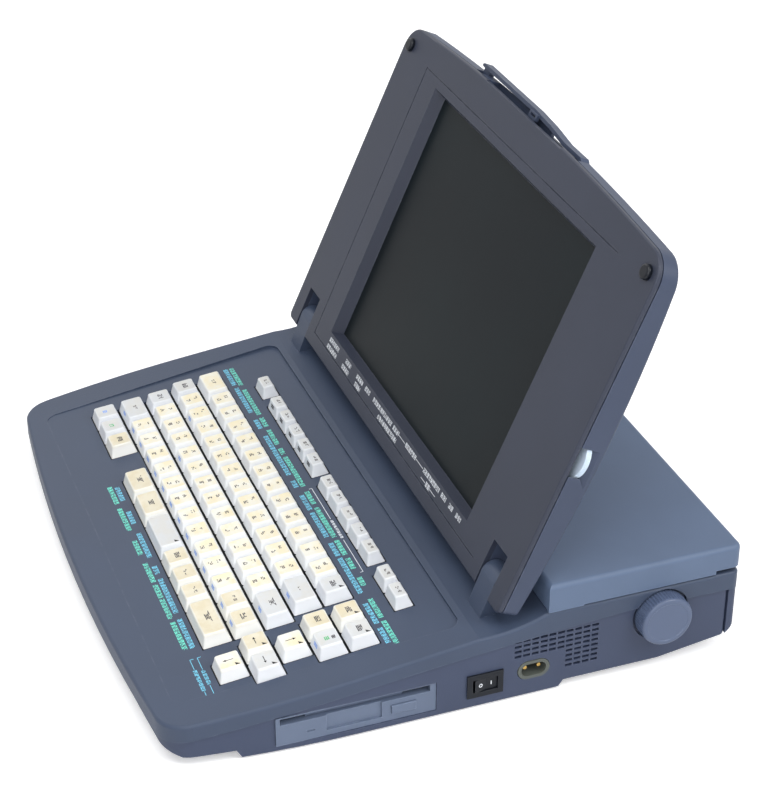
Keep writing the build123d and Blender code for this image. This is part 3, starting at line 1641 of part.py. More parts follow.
def carriage_belt():
    """Endless flat belt round both pulleys."""
    inner = pulley_radius + belt_gap
    outer = inner + belt_thickness
    span = pulley_right_x - pulley_left_x
    low = pulley_base_z + (pulley_height - belt_height) / 2
    middle = Pos((pulley_right_x + pulley_left_x) / 2, pulley_y, low)
    loop = SlotCenterToCenter(span, 2 * outer) - SlotCenterToCenter(span, 2 * inner)
    return middle * extrude(loop, amount=belt_height)


def carriage_motor():
    base = pulley_base_z + pulley_height + drive_motor_gap + frame_sheet
    motor = post(pulley_right_x, pulley_y, base, base + drive_motor_height, drive_motor_radius)
    return motor + post(pulley_right_x, pulley_y, pulley_base_z + 0.5, base + 1, motor_shaft_radius)


def all_nodes():
    nodes = {
        "lower_case": lower_case(),
        "upper_case": upper_case(),
        "rear_panel": rear_panel(),
        "case_screws": case_screws(),
        "rubber_feet": rubber_feet(),
        "keyboard_frame": keyboard_frame(),
        "keyboard_circuit": keyboard_circuit(),
        "main_board": main_board(),
        "power_supply_board": power_supply_board(),
        "power_transformer": power_transformer(),
        "drive_chassis": drive_chassis(),
        "drive_bezel": drive_bezel(),
        "drive_dust_door": drive_dust_door(),
        "drive_eject_button": drive_eject_button(),
        "drive_spindle": drive_spindle(),
        "drive_head_carriage": drive_head_carriage(),
        "switch_housing": switch_housing(),
        "power_rocker": power_rocker(),
        "mains_inlet": mains_inlet(),
        "mains_pins": mains_pins(),
        "printer_frame": printer_frame(),
        "platen_roller": platen_roller(),
        "platen_shaft": platen_shaft(),
        "platen_knob": platen_knob(),
        "platen_gear": platen_gear(),
        "feed_motor": feed_motor(),
        "feed_pinion": feed_pinion(),
        "pinch_rollers": pinch_rollers(),
        "paper_guide": paper_guide(),
        "carriage_rod": carriage_rod(),
        "print_carriage": print_carriage(),
        "ribbon_cassette": ribbon_cassette(),
        "carriage_belt": carriage_belt(),
        "carriage_motor": carriage_motor(),
        "drive_pulley": drive_pulley(),
        "idler_pulley": idler_pulley(),
        "printer_cover": printer_cover(),
        "cover_pins": cover_pins(),
        "lid_bezel": lid_bezel(),
        "lid_back_cover": lid_back_cover(),
        "screen_window": screen_stack("screen_window"),
        "lcd_panel": screen_stack("lcd_panel"),
        "backlight": screen_stack("backlight"),
        "inverter_board": inverter_board(),
        "hinge_pins": hinge_pins(),
        "contrast_wheel": contrast_wheel(),
        "lid_bumpers": lid_bumpers(),
        "carry_handle": carry_handle(),
        "handle_pins": handle_pins(),
    }
    nodes.update(key_nodes())
    return nodes


os.makedirs("parts", exist_ok=True)
for node_name, node_shape in all_nodes().items():
    export_step(Pos(footprint_shift, 0, 0) * node_shape, f"parts/{node_name}.step")
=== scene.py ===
"""Looks of a portable word processor with a raised screen lid and a printer under a cover."""

import logging
import math
import random
from collections.abc import Callable
from dataclasses import dataclass, field, replace
from enum import Enum

import bmesh
import bpy
from mathutils import Matrix, Vector
from mathutils.bvhtree import BVHTree


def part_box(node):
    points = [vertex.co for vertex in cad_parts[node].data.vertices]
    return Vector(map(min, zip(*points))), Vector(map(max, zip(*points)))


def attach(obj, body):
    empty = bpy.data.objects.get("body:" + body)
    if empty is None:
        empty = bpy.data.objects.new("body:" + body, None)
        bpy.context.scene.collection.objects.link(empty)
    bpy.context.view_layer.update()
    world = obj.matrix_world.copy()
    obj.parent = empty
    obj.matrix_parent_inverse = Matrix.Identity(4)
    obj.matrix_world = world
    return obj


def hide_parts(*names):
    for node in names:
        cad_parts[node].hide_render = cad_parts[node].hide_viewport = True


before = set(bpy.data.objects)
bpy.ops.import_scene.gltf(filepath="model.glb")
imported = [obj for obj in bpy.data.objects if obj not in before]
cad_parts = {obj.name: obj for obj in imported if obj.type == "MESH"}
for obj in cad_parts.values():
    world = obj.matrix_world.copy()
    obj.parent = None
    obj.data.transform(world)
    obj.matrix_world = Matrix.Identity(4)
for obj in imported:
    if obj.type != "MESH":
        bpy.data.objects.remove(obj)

log = logging.getLogger("word_processor")

MM = 0.001
SHIFT_X = -4.25
SHARP_ANGLE = math.radians(35)
Point = tuple[float, float, float]
Colour = tuple[float, float, float]
Pair = tuple[float, float]
Inputs = dict[object, object]
Finishes = dict[str, bpy.types.Material]
Socket = bpy.types.NodeSocket


# ---------------------------------------------------------------- node trees


def srgb(red: float, green: float, blue: float) -> Colour:
    """Linear colour of a screen colour given from 0 to 255."""

    def line(value: float) -> float:
        """One channel, from screen value to light."""
        part = value / 255
        return part / 12.92 if part <= 0.04045 else ((part + 0.055) / 1.055) ** 2.4

    return line(red), line(green), line(blue)


def scaled(colour: Colour, factor: float, lift: float = 0.0) -> Colour:
    """Colour times a factor, plus an even lift, held at white."""
    return tuple(min(1.0, c * factor + lift) for c in colour)


def placed(name: str, data: bpy.types.ID) -> bpy.types.Object:
    """Object of a mesh, lamp or camera, linked to the scene.

    Args:
        name: The object's name.
        data: Its mesh, lamp or camera.

    Returns:
        The object.
    """
    obj = bpy.data.objects.new(name, data)
    bpy.context.collection.objects.link(obj)
    return obj


class Value:
    """A shader socket that takes part in Python arithmetic."""

    def __init__(self, graph: "Graph", socket: Socket) -> None:
        """Keep the socket and the graph that it belongs to."""
        self.graph = graph
        self.socket = socket

    def _math(self, operation: str, first: object, second: object) -> "Value":
        """Result of one Math node on two Values or numbers."""
        return self.graph.add("ShaderNodeMath", {"operation": operation}, {0: first, 1: second})

    def __add__(self, other: object) -> "Value":
        """Sum."""
        return self._math("ADD", self, other)

    __radd__ = __add__

    def __sub__(self, other: object) -> "Value":
        """Difference."""
        return self._math("SUBTRACT", self, other)

    def __rsub__(self, other: object) -> "Value":
        """Difference with the value on the right."""
        return self._math("SUBTRACT", other, self)

    def __mul__(self, other: object) -> "Value":
        """Product."""
        return self._math("MULTIPLY", self, other)

    __rmul__ = __mul__

    def larger(self, other: object) -> "Value":
        """The larger of two values."""
        return self._math("MAXIMUM", self, other)

    def step(self, low: float, high: float) -> "Value":
        """Soft step from zero at low to one at high.

        Args:
            low: Where the step starts.
            high: Where the step ends.

        Returns:
            The stepped value.
        """
        limits = {"Value": self, "From Min": low, "From Max": high}
        return self.graph.add("ShaderNodeMapRange", {"interpolation_type": "SMOOTHSTEP"}, limits)


class Graph:
    """The node tree of one material or world."""

    def __init__(self, name: str, owners: str = "materials") -> None:
        """Make an empty tree.

        Args:
            name: Name of the material or world.
            owners: The data collection that it belongs to.
        """
        self.owner = getattr(bpy.data, owners).new(name)
        self.owner.use_nodes = True
        self.tree = self.owner.node_tree
        self.tree.nodes.clear()

    def add(
        self, kind: str, settings: dict[str, object], inputs: Inputs, output: object = 0
    ) -> Value:
        """Add any node: settings first, then the values or links of its sockets.

        Args:
            kind: Node type.
            settings: Properties set before the sockets.
            inputs: Socket name or number to a number, colour or Value.
            output: Name or number of the socket to give back.

        Returns:
            The chosen output.
        """
        node = self.tree.nodes.new(kind)
        for key, value in settings.items():
            setattr(node, key, value)
        for key, value in inputs.items():
            socket = node.inputs[key]
            if isinstance(value, Value):
                self.tree.links.new(value.socket, socket)
            elif isinstance(value, tuple) and len(value) == 3 and socket.type == "RGBA":
                socket.default_value = (*value, 1.0)
            else:
                socket.default_value = value
        return Value(self, node.outputs[output])

    def place(self, scale: Point = (1.0, 1.0, 1.0)) -> Value:
        """Object coordinates, stretched along each axis."""
        coords = self.add("ShaderNodeTexCoord", {}, {}, "Object")
        return self.add("ShaderNodeMapping", {}, {"Vector": coords, "Scale": scale})

    def noise(self, at: Value, scale: float, detail: float = 3.0, rough: float = 0.5) -> Value:
        """Noise between zero and one.

        Args:
            at: Coordinates.
            scale: Cells per metre.
            detail: Octaves.
            rough: How much each octave adds.

        Returns:
            The noise.
        """
        sockets = {"Vector": at, "Scale": scale, "Detail": detail, "Roughness": rough}
        return self.add("ShaderNodeTexNoise", {}, sockets)

    def blend(self, share: object, first: object, second: object) -> Value:
        """Mix two colours.

        Args:
            share: How much of the second colour, from zero to one.
            first: Colour or Value.
            second: Colour or Value.

        Returns:
            The mixed colour.
        """
        settings = {"data_type": "RGBA", "clamp_factor": True}
        return self.add("ShaderNodeMix", settings, {0: share, 6: first, 7: second}, 2)

    def bump(self, height: Value, depth: float) -> Value:
        """Normal of a bump from a height between zero and one and a depth in metres."""
        return self.add("ShaderNodeBump", {}, {"Height": height, "Distance": depth})

    def surface(self, varying: Inputs, fixed: Inputs) -> bpy.types.Material:
        """Close the tree with one Principled shader.

        Args:
            varying: Sockets that change over the surface.
            fixed: Sockets that are the same everywhere.

        Returns:
            The finished material.
        """
        shader = self.add("ShaderNodeBsdfPrincipled", {}, {**varying, **fixed}, "BSDF")
        self.close(shader, "Material")
        return self.owner

    def close(self, shader: Value, kind: str) -> None:
        """Link a shader to the output of a Material or a World."""
        out = self.tree.nodes.new(f"ShaderNodeOutput{kind}")
        self.tree.links.new(shader.socket, out.inputs["Surface"])


# ---------------------------------------------------------------- finishes


class Grain(Enum):
    """How a plastic surface is textured in its mould."""

    FINE = (2600.0, 0.00005)
    SATIN = (4200.0, 0.00002)


@dataclass(frozen=True)
class MouldedPlastic:
    """Injection moulded plastic with a fine spark texture, light dust, and sharp edges lightened
    in patches, partly as wear and partly as a painted highlight.
    """

    name: str
    colour: Colour
    rough: float = 0.42
    grain: Grain = Grain.FINE
    edge_wear_and_highlight: float = 0.6
    cloud: float = 0.06
    edge: float = 0.0012
    shine: float = 0.3
    cloud_cells: float = 14.0
    wear_and_highlight_cells: float = 160.0

    def build(self) -> bpy.types.Material:
        """Make the material."""
        graph = Graph(self.name)
        at = graph.place()
        cells, depth = self.grain.value
        fine = graph.noise(at, cells, 2.0, 0.6)
        broad = graph.noise(at, self.cloud_cells, 3.0, 0.55)
        wear_and_highlight_patches = graph.noise(at, self.wear_and_highlight_cells, 4.0, 0.65)
        dark, pale = (scaled(self.colour, 1 + side * self.cloud) for side in (-1, 1))
        colour = graph.blend(broad.step(0.3, 0.7), dark, pale)
        colour = graph.blend((fine - 0.5) * 0.25 + 0.12, colour, scaled(self.colour, 0.8))
        # Sharp edges are lightened in patches: partly rubbed wear, partly a painted highlight
        # along the edges.
        uneven_part = self.edges(graph) * wear_and_highlight_patches.step(0.35, 0.7) * self.edge_wear_and_highlight
        colour = graph.blend(uneven_part, colour, scaled(self.colour, 1.5, 0.06))
        rough = broad * 0.12 + fine * 0.08 + (self.rough - 0.1) - uneven_part * 0.2
        normal = graph.bump(fine, depth)
        fixed = {"IOR": 1.5, "Specular IOR Level": self.shine}
        return graph.surface({"Base Color": colour, "Roughness": rough, "Normal": normal}, fixed)

    def edges(self, graph: Graph) -> Value:
        """Mask that is one along sharp outer edges and fades to zero on the flats.

        Args:
            graph: The material's graph.

        Returns:
            The edge mask.
        """
        rounded = graph.add("ShaderNodeBevel", {"samples": 4}, {"Radius": self.edge})
        true = graph.add("ShaderNodeNewGeometry", {}, {}, "Normal")
        dot = {"operation": "DOT_PRODUCT"}
        facing = graph.add("ShaderNodeVectorMath", dot, {0: rounded, 1: true}, "Value")
        return (1 - facing).step(0.01, 0.16)


@dataclass(frozen=True)
class KeyPlastic:
    """Key cap plastic whose smoother top is tinted unlike its paler sides and has turned yellow in
    patches.
    """

    name: str
    side: Colour
    top: Colour
    aged: Colour
    ageing: float
    grain_cells: float = 3000.0
    patch_cells: float = 95.0
    grime_cells: float = 30.0

    def build(self) -> bpy.types.Material:
        """Make the material."""
        graph = Graph(self.name)
        at = graph.place()
        fine = graph.noise(at, self.grain_cells, 2.0, 0.6)
        patch = graph.noise(at, self.patch_cells, 3.0, 0.6)
        grime = graph.noise(at, self.grime_cells, 4.0, 0.6)
        top = graph.add("ShaderNodeAttribute", {"attribute_name": "cap_top"}, {}, "Fac")
        colour = graph.blend(top, self.side, self.top)
        colour = graph.blend(top * patch.step(0.34, 0.66) * self.ageing, colour, self.aged)
        colour = graph.blend(grime.step(0.5, 0.9) * 0.12, colour, scaled(self.aged, 0.86))
        rough = fine * 0.1 + 0.4 - top * 0.06
        varying = {"Base Color": colour, "Roughness": rough, "Normal": graph.bump(fine, 0.00002)}
        return graph.surface(varying, {"IOR": 1.5, "Specular IOR Level": 0.35})


@dataclass(frozen=True)
class PrintedInk:
    """Opaque printed marking, slightly uneven like a screen print."""

    name: str
    colour: Colour

    def build(self) -> bpy.types.Material:
        """Make the material."""
        graph = Graph(self.name)
        speck = graph.noise(graph.place(), 1500.0, 3.0, 0.6)
        uneven_part = scaled(self.colour, 0.72, 0.02)
        colour = graph.blend(speck.step(0.55, 0.8) * 0.5, self.colour, uneven_part)
        varying = {"Base Color": colour, "Roughness": speck * 0.2 + 0.4}
        return graph.surface(varying, {"Specular IOR Level": 0.2})


@dataclass(frozen=True)
class ScreenFilm:
    """Anti-glare film over a dark liquid crystal panel."""

    name: str
    colour: Colour

    def build(self) -> bpy.types.Material:
        """Make the material."""
        graph = Graph(self.name)
        at = graph.place()
        broad = graph.noise(at, 7.0, 2.0, 0.5)
        fine = graph.noise(at, 5200.0, 1.0, 0.5)
        smear = graph.noise(at, 40.0, 4.0, 0.6)
        green = tuple(c * f for c, f in zip(self.colour, (1.05, 1.25, 1.2)))
        colour = graph.blend(broad.step(0.3, 0.7), self.colour, green)
        rough = smear * 0.12 + 0.26
        varying = {"Base Color": colour, "Roughness": rough, "Normal": graph.bump(fine, 0.00001)}
        return graph.surface(varying, {"IOR": 1.45, "Specular IOR Level": 0.14})


@dataclass(frozen=True)
class Metal:
    """Sheet or turned metal with fine drawing marks."""

    name: str
    colour: Colour
    rough: float
    stretch: Point = (1.0, 12.0, 12.0)

    def build(self) -> bpy.types.Material:
        """Make the material."""
        graph = Graph(self.name)
        lines = graph.noise(graph.place(self.stretch), 300.0, 4.0, 0.7)
        stain = graph.noise(graph.place(), 60.0, 3.0, 0.6)
        colour = graph.blend(stain.step(0.4, 0.8) * 0.5, self.colour, scaled(self.colour, 0.7))
        rough = lines * 0.2 + stain * 0.1 + (self.rough - 0.12)
        varying = {"Base Color": colour, "Roughness": rough, "Normal": graph.bump(lines, 0.00002)}
        return graph.surface(varying, {"Metallic": 1.0})


@dataclass(frozen=True)
class Rubber:
    """Dull rubber with a dusty bloom."""

    name: str
    colour: Colour

    def build(self) -> bpy.types.Material:
        """Make the material."""
        graph = Graph(self.name)
        at = graph.place()
        fine = graph.noise(at, 1800.0, 3.0, 0.6)
        bloom = graph.noise(at, 80.0, 4.0, 0.6)
        dusty = scaled(self.colour, 1.0, 0.05)
        colour = graph.blend(bloom.step(0.4, 0.8) * 0.4, self.colour, dusty)
        rough = bloom * 0.15 + 0.62
        varying = {"Base Color": colour, "Roughness": rough, "Normal": graph.bump(fine, 0.00004)}
        return graph.surface(varying, {})


@dataclass(frozen=True)
class CircuitBoard:
    """Lacquered board with paler copper tracks."""

    name: str
    base: Colour
    track: Colour
    track_cells: float = 160.0

    def build(self) -> bpy.types.Material:
        """Make the material."""
        graph = Graph(self.name)
        at = graph.place()
        cells = {"feature": "DISTANCE_TO_EDGE"}
        sockets = {"Vector": at, "Scale": self.track_cells}
        lines = graph.add("ShaderNodeTexVoronoi", cells, sockets, "Distance")
        tracks = 1 - lines.step(0.03, 0.06)
        colour = graph.blend(tracks, self.base, self.track)
        rough = graph.noise(at, 90.0) * 0.2 + 0.3
        varying = {"Base Color": colour, "Roughness": rough, "Normal": graph.bump(tracks, 0.00003)}
        return graph.surface(varying, {})


def all_finishes() -> Finishes:
    """Every finish of the object, by material slot.

    Returns:
        Slot name to material.
    """
    satin = {"grain": Grain.SATIN}
    makers = [
        MouldedPlastic("case_plastic", srgb(63, 74, 95)),
        MouldedPlastic("lower_plastic", srgb(62, 71, 94), rough=0.46),
        MouldedPlastic("lid_plastic", srgb(52, 57, 72), rough=0.4),
        MouldedPlastic("lid_back_plastic", srgb(62, 71, 92)),
        MouldedPlastic("cover_plastic", srgb(92, 108, 134), rough=0.44),
        MouldedPlastic("knob_plastic", srgb(84, 97, 124), rough=0.34, shine=0.45, **satin),
        MouldedPlastic("bezel_plastic", srgb(97, 109, 131), **satin),
        MouldedPlastic("black_plastic", srgb(14, 19, 28), rough=0.3, **satin),
        MouldedPlastic("socket_plastic", srgb(88, 93, 88), rough=0.34, edge_wear_and_highlight=0.2, **satin),
        MouldedPlastic("wheel_plastic", srgb(196, 212, 230), rough=0.32, **satin),
        MouldedPlastic("frame_plastic", srgb(36, 38, 42), rough=0.5),
        MouldedPlastic("gear_plastic", srgb(222, 220, 206), rough=0.4, **satin),
        KeyPlastic(
            "key_cream", srgb(240, 242, 244), srgb(241, 239, 228), srgb(240, 224, 176), 0.6
        ),
        KeyPlastic(
            "key_grey", srgb(232, 235, 240), srgb(213, 216, 219), srgb(212, 209, 200), 0.5
        ),
        KeyPlastic(
            "key_beige", srgb(242, 242, 238), srgb(228, 221, 200), srgb(216, 203, 168), 0.6
        ),
        ScreenFilm("window_plastic", srgb(19, 25, 29)),
        ScreenFilm("panel_glass", srgb(20, 24, 27)),
        PrintedInk("light_sheet", srgb(226, 228, 230)),
        CircuitBoard("circuit_board", srgb(30, 84, 52), srgb(74, 128, 82)),
        Metal("steel", srgb(176, 178, 182), 0.34),
        Metal("plated_steel", srgb(196, 198, 200), 0.28),
        Metal("core_steel", srgb(112, 110, 112), 0.5, (1.0, 1.0, 30.0)),
        Metal("brass", srgb(212, 176, 104), 0.3),
        Rubber("rubber", srgb(34, 35, 38)),
        Rubber("belt_rubber", srgb(24, 24, 26)),
        PrintedInk("ink_grey", srgb(104, 100, 100)),
        PrintedInk("ink_dark", srgb(72, 70, 76)),
        PrintedInk("ink_black", srgb(34, 34, 38)),
        PrintedInk("ink_blue", srgb(146, 178, 240)),
        PrintedInk("ink_green", srgb(96, 188, 128)),
        PrintedInk("ink_cyan", srgb(128, 216, 246)),
        PrintedInk("ink_mint", srgb(122, 236, 214)),
        PrintedInk("ink_white", srgb(232, 236, 242)),
    ]
    return {maker.name: maker.build() for maker in makers}


# ---------------------------------------------------------------- meshes


class Sheet:
    """Collects points and faces of one piece, each face with its own finish."""

    def __init__(self, name: str) -> None:
        """Start an empty piece.

        Args:
            name: The piece's name.
        """
        self.name = name
        self.points: list[Point] = []
        self.faces: list[tuple[int, ...]] = []
        self.finish: list[str] = []
        self.top: list[float] = []

    def point(self, place: Point, top: float = 0.0) -> int:
        """Add one point and give its number."""
        self.points.append(place)
        self.top.append(top)
        return len(self.points) - 1

    def face(self, corners: list[int], finish: str) -> None:
        """Add one face."""
        self.faces.append(tuple(corners))
        self.finish.append(finish)

    def ring_wall(self, low: list[int], high: list[int], finish: str) -> None:
        """Join two rings of points with a wall of quads.

        Args:
            low: First ring.
            high: Second ring, as long as the first.
            finish: Finish of the faces.
        """
        count = len(low)
        for index in range(count):
            after = (index + 1) % count
            self.face([low[index], low[after], high[after], high[index]], finish)

    def fan(self, ring: list[int], tip: int, finish: str) -> None:
        """Join a ring of points with one point."""
        for index, point in enumerate(ring):
            self.face([point, ring[(index + 1) % len(ring)], tip], finish)

    def slab(self, low: list[int], high: list[int], finish: str) -> None:
        """Close the solid between two rings of points.

        Args:
            low: Inner ring.
            high: Outer ring.
            finish: Finish of the faces.
        """
        self.ring_wall(low, high, finish)
        self.face(high, finish)
        self.face(low[::-1], finish)

    def build(self, finishes: Finishes, smooth: bool = True) -> bpy.types.Object:
        """Make the Blender object.

        Args:
            finishes: Every finish by slot.
            smooth: Whether faces are shaded smooth, with sharp edges kept.

        Returns:
            The object, at the origin.
        """
        mesh = bpy.data.meshes.new(self.name)
        mesh.from_pydata([tuple(c * MM for c in p) for p in self.points], [], self.faces)
        names = list(dict.fromkeys(self.finish))
        for name in names:
            mesh.materials.append(finishes[name])
        mesh.polygons.foreach_set("material_index", [names.index(f) for f in self.finish])
        marks = mesh.attributes.new("cap_top", "FLOAT", "POINT")
        marks.data.foreach_set("value", self.top)
        mesh.validate()
        mesh.update()
        if smooth:
            mesh.shade_smooth()
            mesh.set_sharp_from_angle(angle=SHARP_ANGLE)
        return placed(self.name, mesh)


@dataclass(frozen=True)
class Plane:
    """A plane in the case, with x along the case, s up the slope and h above it."""

    y: float
    z: float
    tilt: float

    def at(self, x: float, s: float, h: float = 0.0) -> Point:
        """Point in the row frame, in millimetres.

        Args:
            x: Place along the case from its middle.
            s: Place along the slope.
            h: Height above the plane.

        Returns:
            The point.
        """
        turn = math.radians(self.tilt)
        y = self.y + s * math.cos(turn) - h * math.sin(turn)
        z = self.z + s * math.sin(turn) + h * math.cos(turn)
        return x + SHIFT_X, y, z

    def matrix(self, x: float, s: float, h: float) -> Matrix:
        """Move, in metres, from a flat sheet at the origin to this place on the plane."""
        turn = Matrix.Rotation(math.radians(self.tilt), 4, "X")
        return Matrix.Translation(Vector(self.at(x, s, h)) * MM) @ turn


DECK = Plane(0.0, 46.1, 6.1)
LID = Plane(25.1, 61.8, 66.0)


class Skin:
    """Outer surface of one carried-over node, probed with straight lines."""

    probe: float = 12.0
    reach: float = 0.03

    def __init__(self, node: str) -> None:
        """Gather the node's faces.

        Args:
            node: The node's name.
        """
        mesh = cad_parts[node].data
        points = [v.co for v in mesh.vertices]
        self.tree = BVHTree.FromPolygons(points, [tuple(p.vertices) for p in mesh.polygons])

    def height(self, plane: Plane, x: float, s: float) -> float:
        """Height of the surface over a plane, in millimetres, or zero where there is none.

        Args:
            plane: The plane.
            x: Place along the case.
            s: Place up the slope.

        Returns:
            The height.
        """
        start = Vector(plane.at(x, s, self.probe)) * MM
        down = (Vector(plane.at(x, s, 0.0)) * MM - start).normalized()
        hit = self.tree.ray_cast(start, down, self.reach)
        return 0.0 if hit[0] is None else self.probe - hit[3] / MM

    def hit(self, start: Vector, along: Vector) -> Vector:
        """Where a line from a point first meets the surface, both in metres."""
        place = self.tree.ray_cast(start, along.normalized())[0]
        return start if place is None else place


# ---------------------------------------------------------------- repeated shapes


class Grower:
    """A geometry tree built by calls, with named inputs."""

    def __init__(self, name: str) -> None:
        """Make an empty tree of that name."""
        self.tree = bpy.data.node_groups.new(name, "GeometryNodeTree")
        face = self.tree.interface
        face.new_socket("Geometry", in_out="OUTPUT", socket_type="NodeSocketGeometry")
        self.entry = self.tree.nodes.new("NodeGroupInput")
        self.exit = self.tree.nodes.new("NodeGroupOutput")

    def given(self, kind: str, *names: str) -> list[Socket]:
        """Add named inputs of one socket type and give their sockets.

        Args:
            kind: Socket type.
            names: Names of the inputs.

        Returns:
            The inputs' sockets.
        """
        for name in names:
            socket_type = f"NodeSocket{kind}"
            self.tree.interface.new_socket(name, in_out="INPUT", socket_type=socket_type)
        return [self.entry.outputs[name] for name in names]

    def add(
        self, kind: str, settings: dict[str, object], inputs: Inputs, output: object = 0
    ) -> Socket:
        """Add a node: settings first, then the values or links of its sockets.

        Args:
            kind: Node type.
            settings: Properties set before the sockets.
            inputs: Socket name or number to a value or another node's socket.
            output: Name or number of the socket to give back.

        Returns:
            The chosen output.
        """
        node = self.tree.nodes.new(kind)
        for key, value in settings.items():
            setattr(node, key, value)
        for key, value in inputs.items():
            if isinstance(value, Socket):
                self.tree.links.new(value, node.inputs[key])
            else:
                node.inputs[key].default_value = value
        return node.outputs[output]

    def math(self, operation: str, first: object, second: object) -> Socket:
        """Result of one Math node."""
        return self.add("ShaderNodeMath", {"operation": operation}, {0: first, 1: second})

    def times(self, first: object, second: object) -> Socket:
        """Product."""
        return self.math("MULTIPLY", first, second)

    def vector(self, x: object = 0.0, y: object = 0.0, z: object = 0.0) -> Socket:
        """Vector of three numbers or sockets."""
        return self.add("ShaderNodeCombineXYZ", {}, {0: x, 1: y, 2: z})

    def shape(self, kind: str, **inputs: object) -> Socket:
        """Mesh of one primitive node; an underscore in an input's name stands for a blank."""
        named = {key.replace("_", " "): value for key, value in inputs.items()}
        return self.add(f"GeometryNodeMesh{kind}", {}, named, "Mesh")

    def join(self, shapes: list[Socket]) -> Socket:
        """Join several shapes.

        Args:
            shapes: The shapes.

        Returns:
            The joined shape.
        """
        node = self.tree.nodes.new("GeometryNodeJoinGeometry")
        for shape in shapes:
            self.tree.links.new(shape, node.inputs[0])
        return node.outputs[0]

    def close(self, shape: Socket, material: Socket) -> None:
        """Realize the copies, give them their material and end the tree.

        Args:
            shape: What the tree gives.
            material: Socket of its material.
        """
        real = self.add("GeometryNodeRealizeInstances", {}, {"Geometry": shape})
        done = self.add("GeometryNodeSetMaterial", {}, {"Geometry": real, "Material": material})
        self.tree.links.new(done, self.exit.inputs[0])

    def grow(self, values: dict[str, object]) -> bpy.types.Mesh:
        """Finished mesh of the tree for a value of each named input.

        Args:
            values: Value of each named input.

        Returns:
            The mesh.
        """
        base = placed(self.tree.name, bpy.data.meshes.new(self.tree.name))
        modifier = base.modifiers.new("grow", "NODES")
        modifier.node_group = self.tree
        for item in self.tree.interface.items_tree:
            if item.in_out == "INPUT":
                modifier[item.identifier] = values[item.name]
        base.update_tag()
        view = bpy.context.evaluated_depsgraph_get()
        view.update()
        mesh = bpy.data.meshes.new_from_object(base.evaluated_get(view))
        bpy.data.objects.remove(base)
        return mesh


def joined(
    name: str, parts: list[tuple[bpy.types.Mesh, Matrix]], smooth: bool = False
) -> bpy.types.Object:
    """One object from several meshes, each first moved to its place.

    Args:
        name: The object's name.
        parts: Meshes with their places.
        smooth: Whether faces are shaded smooth, with sharp edges kept.

    Returns:
        The object, at the origin.
    """
    gathered = bmesh.new()
    materials: list[bpy.types.Material] = []
    for mesh, place in parts:
        mesh.transform(place)
        shift = {}
        for index, material in enumerate(mesh.materials):
            if material not in materials:
                materials.append(material)
            shift[index] = materials.index(material)
        count = len(gathered.faces)
        gathered.from_mesh(mesh)
        gathered.faces.ensure_lookup_table()
        for face in gathered.faces[count:]:
            face.material_index = shift.get(face.material_index, 0)
    whole = bpy.data.meshes.new(name)
    gathered.to_mesh(whole)
    gathered.free()
    for material in materials:
        whole.materials.append(material)
    if smooth:
        whole.shade_smooth()
        whole.set_sharp_from_angle(angle=SHARP_ANGLE)
    return placed(name, whole)


@dataclass(frozen=True)
class Strip:
    """One run of printed marks: its ends, its place up the slope, its depth and its ink."""

    start: float
    end: float
    s: float
    ink: str
    depth: float = 3.2
    solid: bool = False


